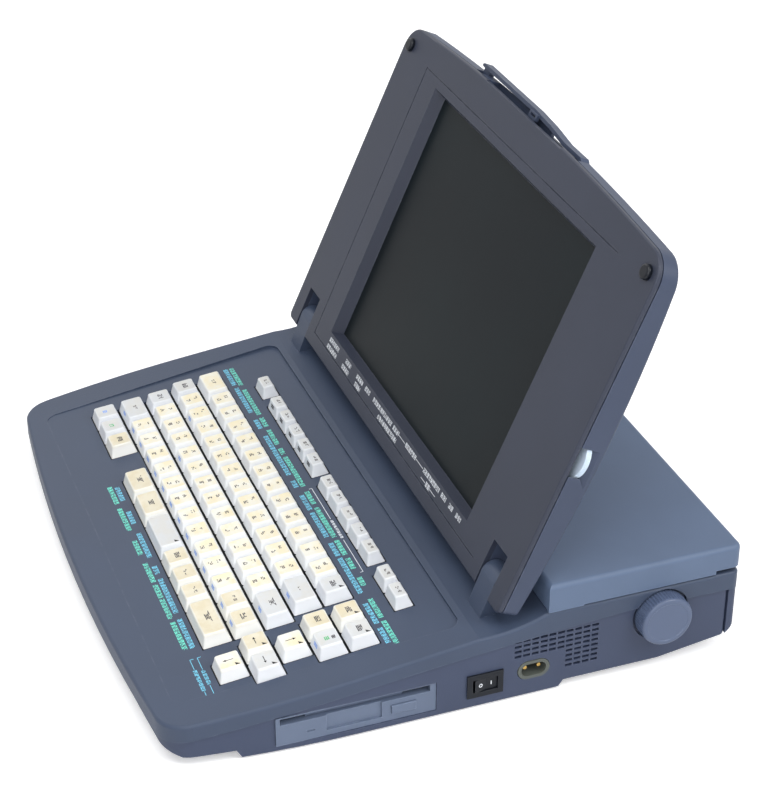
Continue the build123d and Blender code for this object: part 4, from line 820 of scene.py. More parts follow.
class PrintShop:
    """Grows runs of small printed marks that stand for lettering without spelling anything."""

    cell: float = 0.5
    rows: int = 4
    columns: int = 6
    fill: float = 0.9
    first_seed: int = 7
    ink_height: float = 0.06
    stroke_width: float = 0.9
    stroke_depth: float = 0.62
    least_stretch: Point = (0.7, 0.8, 1.0)
    most_stretch: Point = (1.2, 1.5, 1.0)

    def __init__(self, finishes: Finishes) -> None:
        """Build the two geometry trees.

        Args:
            finishes: Every finish by slot.
        """
        self.finishes = finishes
        self.marks = self.mark_tree()
        self.lines = self.line_tree()

    def mark_tree(self) -> Grower:
        """Tree for a raster of small strokes with a gap after every block."""
        tree = Grower("printed_marks")
        length, depth, cell, height, fill = tree.given(
            "Float", "Length", "Depth", "Cell", "Height", "Fill"
        )
        (seed,), (material,) = tree.given("Int", "Seed"), tree.given("Material", "Material")
        across = tree.add("FunctionNodeFloatToInt", {}, {0: tree.math("DIVIDE", length, cell)})
        inner = tree.times(depth, 1 - 1 / self.rows)
        sizes = {"Size_X": length, "Size_Y": inner, "Vertices_X": across, "Vertices_Y": self.rows}
        raster = tree.shape("Grid", **sizes)
        number = tree.add("GeometryNodeInputIndex", {}, {})
        column = tree.math("FLOOR", tree.math("DIVIDE", number, float(self.rows)), 0.0)
        place = tree.math("MODULO", column, float(self.columns))
        inside = tree.math("LESS_THAN", place, self.columns - 1.2)
        odds = {"Probability": fill, "Seed": seed}
        chance = tree.add("FunctionNodeRandomValue", {"data_type": "BOOLEAN"}, odds, 3)
        both = {0: inside, 1: chance}
        kept = tree.add("FunctionNodeBooleanMath", {"operation": "AND"}, both)
        size = tree.vector(
            tree.times(cell, self.stroke_width),
            tree.times(depth, self.stroke_depth / self.rows),
            height,
        )
        stroke = tree.shape("Cube", Size=size)
        limits = {0: self.least_stretch, 1: self.most_stretch, "Seed": seed}
        stretch = tree.add("FunctionNodeRandomValue", {"data_type": "FLOAT_VECTOR"}, limits)
        copies = {"Points": raster, "Selection": kept, "Instance": stroke, "Scale": stretch}
        tree.close(tree.add("GeometryNodeInstanceOnPoints", {}, copies), material)
        return tree

    @staticmethod
    def line_tree() -> Grower:
        """Tree for one thin printed line."""
        tree = Grower("printed_line")
        size = tree.vector(*tree.given("Float", "Length", "Depth", "Height"))
        (material,) = tree.given("Material", "Material")
        tree.close(tree.shape("Cube", Size=size), material)
        return tree

    def print_on(
        self, name: str, body: str, skin: Skin, plane: Plane, strips: list[Strip]
    ) -> None:
        """Print strips on one surface.

        Args:
            name: Name of the piece.
            body: Body that it rides on.
            skin: Surface under the print.
            plane: Plane of the surface.
            strips: What is printed.
        """
        parts = []
        for index, strip in enumerate(strips):
            values = {
                "Length": (strip.end - strip.start) * MM,
                "Depth": strip.depth * MM,
                "Height": self.ink_height * MM,
                "Material": self.finishes[strip.ink],
            }
            if not strip.solid:
                seed = index + self.first_seed
                values |= {"Cell": self.cell * MM, "Fill": self.fill, "Seed": seed}
            mesh = (self.lines if strip.solid else self.marks).grow(values)
            middle = (strip.start + strip.end) / 2
            height = skin.height(plane, middle, strip.s)
            parts.append((mesh, plane.matrix(middle, strip.s, height)))
        obj = joined(name, parts)
        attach(obj, body)
        log.info("%s: %d strips", name, len(strips))


def runs(s: float, ink: str, ends: list[Pair]) -> list[Strip]:
    """Several strips on one line."""
    return [Strip(start, end, s, ink) for start, end in ends]


def rule(start: float, end: float, s: float, ink: str = "ink_white", depth: float = 0.35) -> Strip:
    """One thin line, or a tick where it is deeper than long."""
    return Strip(start, end, s, ink, depth, solid=True)


def bracket(start: float, s: float, word: Pair, end: float) -> list[Strip]:
    """Line with a tick at its left end, a short word and another line.

    Args:
        start: Left end.
        s: Place up the slope.
        word: Ends of the word.
        end: Right end.

    Returns:
        The strips.
    """
    ink = "ink_cyan"
    parts = [rule(start, word[0] - 1, s, ink), rule(start - 0.1, start + 0.3, s + 1.2, ink, 2)]
    return parts + [Strip(*word, s, ink, 2.4), rule(word[1] + 1, end, s, ink)]


def deck_strips() -> list[Strip]:
    """Print round the keys: two lines behind and two in front of the rows, and the brackets."""
    near_keys = [(-163, -140.5), (-136, -101.5), (-91, -79.5), (-69, -18), (-10.5, -3)]
    near_keys += [(7.5, 24.5), (28.5, 56.5), (64, 78), (81, 119)]
    far_line = [(-162.5, -138), (-131, -96.5), (-91.5, -80), (-75, -56), (-50, -43), (-39, -2)]
    far_line += [(5, 20), (24.5, 59), (63, 79), (83.5, 94.5), (104.5, 113)]
    front_near = [(-59, -43), (-29, -15), (-3, 24.5), (35, 43), (49, 85.5), (92.5, 121.5)]
    front_far = [(-61.5, -41), (-35, -9), (3.5, 19), (29.5, 50.5), (53.5, 67), (69, 89)]
    front_far += [(93.5, 121)]
    strips = runs(-31.4, "ink_cyan", near_keys) + runs(-27.2, "ink_mint", far_line)
    strips += runs(-136.0, "ink_cyan", front_near) + runs(-140.4, "ink_mint", front_far)
    strips += [rule(3, 40, -23.1), rule(64.5, 100, -23.1), rule(2.8, 3.2, -24, depth=2)]
    strips += [rule(99.8, 100.2, -24, depth=2), Strip(42, 62, -23.1, "ink_white", 1.8)]
    strips += bracket(131.5, -136.2, (144, 157), 170) + bracket(131.5, -140.6, (142, 161), 170)
    strips += runs(-28.4, "ink_mint", [(127, 146), (150, 172)])
    return strips + runs(-32.6, "ink_cyan", [(130, 150), (155, 170)])


def lid_strips() -> list[Strip]:
    """White print under the screen."""
    upper = [(-120, -102), (-87.5, -78), (-66, -54.5), (-49, -41), (-33.5, -20.8)]
    upper += [(-19.5, -9.6), (-8.5, 0.4), (3.2, 13.2), (25.6, 43), (57, 82.5), (86.5, 93.5)]
    upper += [(99, 105), (110, 117)]
    lower = [(-120, -102), (-90, -77.5), (-64.5, -55), (-20, -11.5), (-10.5, 2), (3, 13)]
    lower += [(65.6, 72)]
    strips = runs(17.6, "ink_white", upper) + runs(12.6, "ink_white", lower)
    strips += [rule(13.8, 24.8, 17.5), rule(43.6, 55.8, 17.5)]
    return strips + [rule(57.2, 64.6, 12.5), rule(72.6, 81, 12.5)]


# ---------------------------------------------------------------- keys


class KeyTone(Enum):
    """Colour family of a key cap."""

    CREAM = "key_cream"
    GREY = "key_grey"
    BEIGE = "key_beige"


class Legend(Enum):
    """What is printed on a cap."""

    LETTER = "letter"
    WORD = "word"
    WORD_CORNER = "word_corner"
    SMALL = "small"
    BLUE_SPOT = "blue_spot"
    GREEN_SPOT = "green_spot"
    GREEN_WORD = "green_word"
    CORNER = "corner"
    TO_FRONT = "to_front"
    TO_REAR = "to_rear"
    TO_LEFT = "to_left"
    TO_RIGHT = "to_right"


ARROWS = {
    Legend.TO_FRONT: (0.0, -1.0),
    Legend.TO_REAR: (0.0, 1.0),
    Legend.TO_LEFT: (-1.0, 0.0),
    Legend.TO_RIGHT: (1.0, 0.0),
}


@dataclass(frozen=True)
class KeyShape:
    """Outer shape of the caps in millimetres."""

    height: float = 8.0
    skirt: float = -0.2
    side_lean: float = 2.5
    front_lean: float = 2.5
    rear_lean: float = 2.5
    dish: float = 0.55
    round: float = 0.9
    corner: float = 1.0
    inner_corner: float = 0.8
    wall: float = 1.3


@dataclass(frozen=True)
class Cap:
    """One key cap: middle, size, tone and print."""

    x: float
    s: float
    width: float
    depth: float
    tone: KeyTone
    legend: Legend = Legend.LETTER
    front_ink: str = ""


def rounded_ring(
    half_x: float, half_s: float, radius: float, steps: int = 4, run: int = 5
) -> list[Pair]:
    """Points round a rectangle with rounded corners, anticlockwise from above.

    Args:
        half_x: Half the width.
        half_s: Half the depth.
        radius: Corner radius.
        steps: Segments in each corner.
        run: Segments along each side.

    Returns:
        The points.
    """
    radius = min(radius, half_x * 0.9, half_s * 0.9)
    corners = [(1, -1, -90), (1, 1, 0), (-1, 1, 90), (-1, -1, 180)]
    arcs = []
    for sign_x, sign_s, start in corners:
        arc = []
        for index in range(steps + 1):
            turn = math.radians(start + 90 * index / steps)
            x = sign_x * (half_x - radius) + radius * math.cos(turn)
            arc.append((x, sign_s * (half_s - radius) + radius * math.sin(turn)))
        arcs.append(arc)
    points = []
    for arc, after in zip(arcs, arcs[1:] + arcs[:1]):
        points += arc
        (x, s), (next_x, next_s) = arc[-1], after[0]
        for part in range(1, run):
            share = part / run
            points.append((x + (next_x - x) * share, s + (next_s - s) * share))
    return points


@dataclass
class CapBuilder:
    """Builds dished, hollow key caps on the deck plane, all in one piece."""

    shape: KeyShape
    sheet: Sheet
    body_shares: Pair = (0.35, 0.7)
    edge_rings: int = 4
    edge_overhang: float = 0.3
    top_insets: Pair = (1.6, 3.2)
    hollow: float = 0.75

    def top_height(self, cap: Cap, dx: float) -> float:
        """Height of the dished top at dx from the cap's middle."""
        half = cap.width / 2 - self.shape.side_lean
        return self.shape.height - self.shape.dish * (1 - min(1.0, (dx / half) ** 2))

    def ring(
        self, cap: Cap, lean: float, inset: float, drop: float | None, radius: float, top: float
    ) -> list[int]:
        """Add one ring of points.

        Args:
            cap: The cap.
            lean: Share of the sides' lean at this height, from zero to one.
            inset: Distance in from the leaning side.
            drop: Depth below the dished top, or None for the skirt's lower edge.
            radius: Corner radius.
            top: Value of the top mark.

        Returns:
            Numbers of the points.
        """
        shape = self.shape
        half_x = cap.width / 2 - shape.side_lean * lean - inset
        half_s = cap.depth / 2 - (shape.front_lean + shape.rear_lean) / 2 * lean - inset
        middle = (shape.front_lean - shape.rear_lean) / 2 * lean
        numbers = []
        for dx, ds in rounded_ring(half_x, half_s, radius):
            h = shape.skirt if drop is None else self.top_height(cap, dx) - drop
            place = DECK.at(cap.x + dx, cap.s + middle + ds, h)
            numbers.append(self.sheet.point(place, top))
        return numbers

    def add(self, cap: Cap) -> None:
        """Add one hollow cap.

        Args:
            cap: The cap.
        """
        shape, sheet, finish = self.shape, self.sheet, cap.tone.value
        rise = shape.height - shape.skirt
        rings = [self.ring(cap, 0.0, 0.0, None, shape.corner, 0.0)]
        for share in self.body_shares:
            rings.append(self.ring(cap, share, 0.0, rise * (1 - share), shape.corner, 0.0))
        last = self.edge_rings - 1
        for index in range(self.edge_rings):
            turn = math.radians(90 * index / last)
            inset = shape.round * (1 - math.cos(turn)) - shape.round * self.edge_overhang
            drop = shape.round * (1 - math.sin(turn))
            mark = 0.25 if index < last else 1.0
            corner = shape.corner + 0.2
            rings.append(self.ring(cap, 1 - drop / rise, inset, drop, corner, mark))
        for inset in self.top_insets:
            rings.append(self.ring(cap, 1.0, inset, 0.0, shape.corner, 1.0))
        for low, high in zip(rings, rings[1:]):
            sheet.ring_wall(low, high, finish)
        centre = sheet.point(DECK.at(cap.x, cap.s, self.top_height(cap, 0.0)), 1.0)
        sheet.fan(rings[-1], centre, finish)
        inner = self.ring(cap, 0.0, shape.wall, None, shape.inner_corner, 0.0)
        drop = rise * (1 - self.hollow)
        ceiling = self.ring(cap, self.hollow, shape.wall, drop, shape.inner_corner, 0.0)
        sheet.ring_wall(inner, rings[0], finish)
        sheet.ring_wall(ceiling, inner, finish)
        sheet.face(ceiling[::-1], finish)


class Printer:
    """Lays thin ink on the tops and front faces of caps, one cap at a time."""

    ink_rise: float = 0.05
    ink_sink: float = 0.06
    stroke: Pair = (1.1, 0.9)

    def __init__(self, seed: int = 11) -> None:
        """Start a fixed random series; add sets the cap in hand and its builder."""
        self.chance = random.Random(seed)
        self.builder: CapBuilder | None = None
        self.cap: Cap | None = None

    def slab(self, outline: list[Pair], ink: str, place: Callable[[Pair, float], Point]) -> None:
        """Add one thin solid of ink.

        Args:
            outline: Corners round the cap's middle, anticlockwise from outside.
            ink: Finish of the ink.
            place: Gives the point of a corner at a height over the cap's surface.
        """
        sheet = self.builder.sheet
        low = [sheet.point(place(corner, -self.ink_sink)) for corner in outline]
        high = [sheet.point(place(corner, self.ink_rise)) for corner in outline]
        sheet.slab(low, high, ink)

    def on_top(self, corner: Pair, out: float) -> Point:
        """Point over the dished top of the cap."""
        height = self.builder.top_height(self.cap, corner[0])
        return DECK.at(self.cap.x + corner[0], self.cap.s + corner[1], height + out)

    def on_front(self, corner: Pair, out: float) -> Point:
        """Point over the leaning front face of the cap, from its place across and its height.

        Args:
            corner: Place across from the cap's middle, and height.
            out: Height over the face.

        Returns:
            The point.
        """
        shape, cap = self.builder.shape, self.cap
        lean = shape.front_lean / (shape.height - shape.skirt)
        long = math.hypot(1.0, lean)
        s = cap.s - cap.depth / 2 + lean * (corner[1] - shape.skirt) - out / long
        return DECK.at(cap.x + corner[0], s, corner[1] + out * lean / long)

    def raster(self, place: Pair, size: Pair, ink: str, fill: float) -> None:
        """Add a small block of strokes that spells nothing.

        Args:
            place: Middle of the block.
            size: Width and depth of the block.
            ink: Finish of the ink.
            fill: Share of the strokes that are there.
        """
        columns = max(2, round(size[0] / self.stroke[0]))
        rows = max(3, round(size[1] / self.stroke[1]))
        for column in range(columns):
            for row in range(rows):
                if self.chance.random() > fill:
                    continue
                x = place[0] + ((column + 0.5) / columns - 0.5) * size[0]
                s = place[1] + ((row + 0.5) / rows - 0.5) * size[1]
                w = size[0] / columns * self.chance.uniform(0.75, 1.2) / 2
                d = size[1] / rows * self.chance.uniform(0.6, 0.85) / 2
                outline = [(x - w, s - d), (x + w, s - d), (x + w, s + d), (x - w, s + d)]
                self.slab(outline, ink, self.on_top)

    def word(self) -> None:
        """Add a row of two to four blocks across the middle of the top."""
        count = max(2, min(4, round(self.cap.width / 9.0)))
        for index in range(count):
            x = (index - (count - 1) / 2) * 2.9
            self.raster((x, 0.4), (2.6, 3.4), "ink_dark", 0.9)

    def corner(self) -> None:
        """Add a small black triangle near the right rear corner of the top."""
        shape, side, inset = self.builder.shape, 2.7, 3.6
        x = self.cap.width / 2 - shape.side_lean - inset
        s = self.cap.depth / 2 - shape.rear_lean - inset
        self.slab([(x, s), (x + side, s), (x + side, s + side)], "ink_black", self.on_top)

    def arrow(self, way: Pair) -> None:
        """Add an arrow on the top.

        Args:
            way: Direction along the case and up the slope.
        """
        (ax, ay), (bx, by) = way, (-way[1], way[0])

        def place(along: float, aside: float) -> Pair:
            """Point from the arrow's own lengths."""
            return ax * along + bx * aside - 0.6, ay * along + by * aside - 0.4

        shaft = [place(-3.2, -0.22), place(1.4, -0.22), place(1.4, 0.22), place(-3.2, 0.22)]
        head = [place(1.2, -0.9), place(3.0, 0.0), place(1.2, 0.9)]
        for outline in (shaft, head):
            self.slab(outline, "ink_black", self.on_top)

    def front(self, ink: str) -> None:
        """Add a soft mark on the face towards the user.

        Args:
            ink: Finish of the ink.
        """
        tall = 0.9
        for column in range(3):
            for row in range(2):
                x = (column - 1) * 1.7 - 0.8
                h = 3.4 + row * 1.3
                w = self.chance.uniform(0.6, 0.8)
                outline = [(x - w, h), (x + w, h), (x + w, h + tall), (x - w, h + tall)]
                self.slab(outline, ink, self.on_front)

    def add(self, builder: CapBuilder, cap: Cap) -> None:
        """Print one cap.

        Args:
            builder: Builder that made the cap, with its piece.
            cap: The cap.
        """
        self.builder, self.cap = builder, cap
        legend = cap.legend
        if legend is Legend.LETTER:
            self.raster((self.chance.uniform(-1.6, 0.4), -2.7), (2.8, 2.8), "ink_grey", 0.62)
            self.raster((self.chance.uniform(-1.6, 0.6), 2.5), (2.8, 2.4), "ink_grey", 0.58)
        if legend is Legend.SMALL:
            self.raster((-1.6, 0.4), (2.2, 2.2), "ink_grey", 0.6)
            self.raster((1.8, 0.6), (2.2, 2.2), "ink_grey", 0.6)
        if legend in (Legend.WORD, Legend.WORD_CORNER):
            self.word()
        if legend in (Legend.BLUE_SPOT, Legend.GREEN_SPOT, Legend.GREEN_WORD):
            ink = "ink_blue" if legend is Legend.BLUE_SPOT else "ink_green"
            self.raster((0.0, -0.6), (3.2, 3.0), ink, 0.95)
        if legend is Legend.GREEN_WORD:
            self.raster((0.4, 3.4), (3.0, 2.2), "ink_dark", 0.85)
        if legend in ARROWS:
            self.arrow(ARROWS[legend])
        if legend in ARROWS or legend in (Legend.WORD_CORNER, Legend.CORNER):
            self.corner()
        if cap.front_ink:
            self.front(cap.front_ink)


@dataclass
class Keyboard:
    """All keys: rows of caps with their markings."""

    pitch: float = 19.05
    gap: float = 0.7
    depth: float = 17.6
    function_depth: float = 11.6
    first_s: float = -130.8
    row_step: float = 19.05
    front_left: float = -149.9
    rear_left: float = -154.7
    function_left: float = -131.5
    function_s: float = -19.2
    shape: KeyShape = field(default_factory=KeyShape)

    def row(
        self, left: float, index: int, keys: list[tuple[float, KeyTone, Legend]], front: str = ""
    ) -> list[Cap]:
        """Caps of one row.

        Args:
            left: Left end of the row.
            index: Row number from the front.
            keys: Width in key units, tone and print of each cap.
            front: Ink on the front faces, or nothing.

        Returns:
            The caps.
        """
        caps = []
        x = left
        s = self.first_s + self.row_step * index + self.depth / 2
        for width, tone, legend in keys:
            size = width * self.pitch
            caps.append(Cap(x + size / 2, s, size - self.gap, self.depth, tone, legend, front))
            x += size
        return caps

    def single(self, x: float, index: int, tone: KeyTone, legend: Legend, front: str = "") -> Cap:
        """A one-unit cap at x in a row."""
        s = self.first_s + self.row_step * index + self.depth / 2
        return Cap(x, s, self.pitch - self.gap, self.depth, tone, legend, front)

    def rows(self) -> dict[str, list[Cap]]:
        """Caps of the long rows, by node."""
        cream, grey, beige = KeyTone.CREAM, KeyTone.GREY, KeyTone.BEIGE
        letter, word, small = Legend.LETTER, Legend.WORD, Legend.SMALL
        letters = [(1, cream, letter)]
        bottom_left = [(1, grey, Legend.BLUE_SPOT), (1, grey, Legend.GREEN_SPOT), (1, beige, word)]
        bottom = [(1.5, beige, word)] * 2 + [(2, grey, Legend.CORNER), (1, beige, word)]
        bottom += [(1, beige, small)] * 2 + [(2, beige, word)]
        lower = [(1.5, grey, small)] + letters * 11 + [(1, beige, small), (1, beige, word)]
        home = [(1, grey, word)] + letters * 12 + [(1.5, grey, word)]
        upper = [(1, grey, word)] + letters * 12 + [(1.5, grey, small)]
        number = [(1.5, cream, small)] + letters * 12 + [(1, grey, Legend.WORD_CORNER)]
        bottom_caps = self.row(self.front_left + 4.5 * self.pitch, 0, bottom)
        space = bottom_caps.pop(2)
        made = {
            "keys_bottom_left": self.row(self.front_left, 0, bottom_left),
            "keys_bottom_row": bottom_caps,
            "key_space": [space],
            "keys_lower_row": self.row(self.front_left, 1, lower, "ink_blue"),
            "keys_home_row": self.row(self.front_left, 2, home),
            "keys_upper_row": self.row(self.rear_left, 3, upper),
            "keys_number_row": self.row(self.rear_left, 4, number),
        }
        marked = {"keys_home_row": (4, 13), "keys_upper_row": (2, 13)}
        for name, places in marked.items():
            for index in places:
                made[name][index] = replace(made[name][index], front_ink="ink_blue")
        return made

    def groups(self) -> dict[str, list[Cap]]:
        """Caps of every group, by the name of the node that they stand for."""
        cream, grey, beige = KeyTone.CREAM, KeyTone.GREY, KeyTone.BEIGE
        made = self.rows()
        made["keys_cursor"] = [
            self.single(151.4, 0, cream, Legend.TO_FRONT),
            self.single(141.5, 1, beige, Legend.TO_LEFT),
            self.single(160.6, 1, grey, Legend.TO_RIGHT),
            self.single(150.4, 2, cream, Legend.TO_REAR),
        ]
        made["keys_edit_block"] = [
            self.single(139.3, 3, beige, Legend.WORD),
            self.single(158.4, 3, grey, Legend.GREEN_WORD, "ink_blue"),
            self.single(139.3, 4, beige, Legend.WORD_CORNER),
            self.single(158.4, 4, grey, Legend.WORD_CORNER),
        ]
        x = self.function_left + self.pitch / 2
        s, depth = self.function_s + self.function_depth / 2, self.function_depth
        groups = [("keys_function", 1, ""), ("keys_function", 5, "ink_dark")]
        groups += [("keys_function", 5, ""), ("keys_right_pair", 2, "")]
        for name, count, front in groups:
            for _ in range(count):
                cap = Cap(x, s, self.pitch - self.gap, depth, grey, Legend.SMALL, front)
                made.setdefault(name, []).append(cap)
                x += self.pitch
            x += self.pitch / 2
        return made

    def build(self, finishes: Finishes) -> None:
        """Build every group of keys and let it ride on its own body.

        Args:
            finishes: Every finish by slot.
        """
        printer = Printer()
        for node, caps in self.groups().items():
            builder = CapBuilder(self.shape, Sheet(f"{node}_caps"))
            for cap in caps:
                builder.add(cap)
                printer.add(builder, cap)
            obj = builder.sheet.build(finishes)
            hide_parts(node)
            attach(obj, node)
            log.info("%s: %d caps", node, len(caps))


# ---------------------------------------------------------------- carried-over pieces


FINISH_NODES = {
    "lower_plastic": ("lower_case", "rear_panel"),
    "case_plastic": ("upper_case",),
    "rubber": ("rubber_feet", "platen_roller", "pinch_rollers"),
    "frame_plastic": ("keyboard_frame", "drive_head_carriage", "print_carriage"),
    "circuit_board": ("keyboard_circuit", "main_board", "power_supply_board", "inverter_board"),
    "core_steel": ("power_transformer", "feed_motor", "carriage_motor"),
    "plated_steel": ("drive_chassis", "printer_frame", "paper_guide"),
    "bezel_plastic": ("drive_bezel", "drive_dust_door", "drive_eject_button"),
    "steel": (
        "drive_spindle", "platen_shaft", "carriage_rod", "cover_pins", "hinge_pins", "handle_pins",
    ),
    "black_plastic": ("switch_housing", "power_rocker", "ribbon_cassette", "lid_bumpers"),
    "socket_plastic": ("mains_inlet",),
    "brass": ("mains_pins", "drive_pulley"),
    "gear_plastic": ("platen_gear", "feed_pinion", "idler_pulley"),
    "belt_rubber": ("carriage_belt",),
    "cover_plastic": ("printer_cover",),
    "lid_plastic": ("lid_bezel",),
    "lid_back_plastic": ("lid_back_cover", "carry_handle"),
    "window_plastic": ("screen_window",),
    "panel_glass": ("lcd_panel",),
    "light_sheet": ("backlight",),
    "wheel_plastic": ("contrast_wheel",),
}


def dress_nodes(finishes: Finishes) -> None:
    """Give every carried-over node its finish.

    Args:
        finishes: Every finish by slot.
    """
    for slot, nodes in FINISH_NODES.items():
        for node in nodes:
            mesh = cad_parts[node].data
            for index in range(len(mesh.materials)):
                mesh.materials[index] = finishes[slot]
    log.info("dressed %d finishes", len(FINISH_NODES))


# ---------------------------------------------------------------- screws and switch


@dataclass(frozen=True)
class ScrewSet:
    """The screws under the case, each with a domed cross head and a threaded shank."""

    node: str = "case_screws"
    body: str = "case"
    head_radius: float = 3.0
    head_height: float = 2.0
    shank_radius: float = 1.5
    thread_pitch: float = 0.9
    cross_width: float = 0.8
    cross_depth: float = 1.1
    dome_share: float = 0.72
    core_share: float = 0.8
    head_sides: int = 32
    thread_sides: int = 20

    def seats(self) -> list[tuple[Vector, Vector]]:
        """Lowest and highest corner of every screw of the node, in metres."""
        whole = bmesh.new()
        whole.from_mesh(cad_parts[self.node].data)
        bmesh.ops.remove_doubles(whole, verts=whole.verts, dist=1e-6)
        left = set(whole.verts)
        found = []
        while left:
            open_verts = [left.pop()]
            group = []
            while open_verts:
                vert = open_verts.pop()
                group.append(vert.co.copy())
                for edge in vert.link_edges:
                    other = edge.other_vert(vert)
                    if other in left:
                        left.remove(other)
                        open_verts.append(other)
            found.append(tuple(Vector(tuple(map(side, zip(*group)))) for side in (min, max)))
        whole.free()
        return found

    def tree(self) -> Grower:
        """Geometry tree of one screw that stands on its head at the origin."""
        tree = Grower("cross_head_screw")
        length, pitch, head, shank = tree.given(
            "Float", "Length", "Pitch", "Head Radius", "Shank Radius"
        )
        height, cross, depth = tree.given("Float", "Head Height", "Cross Width", "Cross Depth")
        (material,) = tree.given("Material", "Material")
        lower = tree.times(height, 0.5)
        slim = tree.times(head, self.dome_share)
        round_head = {"Vertices": self.head_sides, "Depth": lower}
        dome = tree.shape("Cone", Radius_Top=head, Radius_Bottom=slim, **round_head)
        plate = tree.shape("Cylinder", Radius=head, **round_head)
        middle = tree.vector(z=tree.times(height, 0.75))
        moved = {"Geometry": plate, "Translation": middle}
        plate = tree.add("GeometryNodeTransform", {}, moved)
        reach, twice = tree.times(head, 1.1), tree.times(depth, 2.0)
        arms = [
            tree.shape("Cube", Size=tree.vector(first, second, twice))
            for first, second in ((reach, cross), (cross, reach))
        ]
        heads = [self.cut(tree, self.cut(tree, part, arms[0]), arms[1]) for part in (dome, plate)]
        turns = tree.math("DIVIDE", tree.math("SUBTRACT", length, height), pitch)
        places = {
            "Count": tree.add("FunctionNodeFloatToInt", {}, {0: turns}),
            "Start Location": tree.vector(z=tree.math("ADD", height, tree.times(pitch, 0.1))),
            "Offset": tree.vector(z=pitch),
        }
        modes = {"mode": "OFFSET", "count_mode": "TOTAL"}
        points = tree.add("GeometryNodeMeshLine", modes, places, "Mesh")
        ridge = tree.shape(
            "Cone",
            Vertices=self.thread_sides,
            Radius_Top=tree.times(shank, self.core_share),
            Radius_Bottom=shank,
            Depth=tree.times(pitch, 0.95),
        )
        copies = {"Points": points, "Instance": ridge}
        thread = tree.add("GeometryNodeInstanceOnPoints", {}, copies)
        tree.close(tree.join([*heads, thread]), material)
        return tree

    @staticmethod
    def cut(tree: Grower, shape: Socket, tool: Socket) -> Socket:
        """Take one shape out of another."""
        meshes = {"Mesh 1": shape, "Mesh 2": tool}
        return tree.add("GeometryNodeMeshBoolean", {"operation": "DIFFERENCE"}, meshes, "Mesh")

    def build(self, finishes: Finishes) -> None:
        """Build the screws in place of the plain ones.

        Args:
            finishes: Every finish by slot.
        """
        tree = self.tree()
        sizes = {
            "Pitch": self.thread_pitch,
            "Head Radius": self.head_radius,
            "Shank Radius": self.shank_radius,
            "Head Height": self.head_height,
            "Cross Width": self.cross_width,
            "Cross Depth": self.cross_depth,
        }
        values = {name: size * MM for name, size in sizes.items()}
        values["Material"] = finishes["plated_steel"]
        parts = []
        for low, high in self.seats():
            place = Vector(((low.x + high.x) / 2, (low.y + high.y) / 2, low.z))
            mesh = tree.grow({**values, "Length": high.z - low.z})
            parts.append((mesh, Matrix.Translation(place)))
        obj = joined("case_screws_threaded", parts)
        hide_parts(self.node)
        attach(obj, self.body)
        log.info("screws: %d", len(parts))


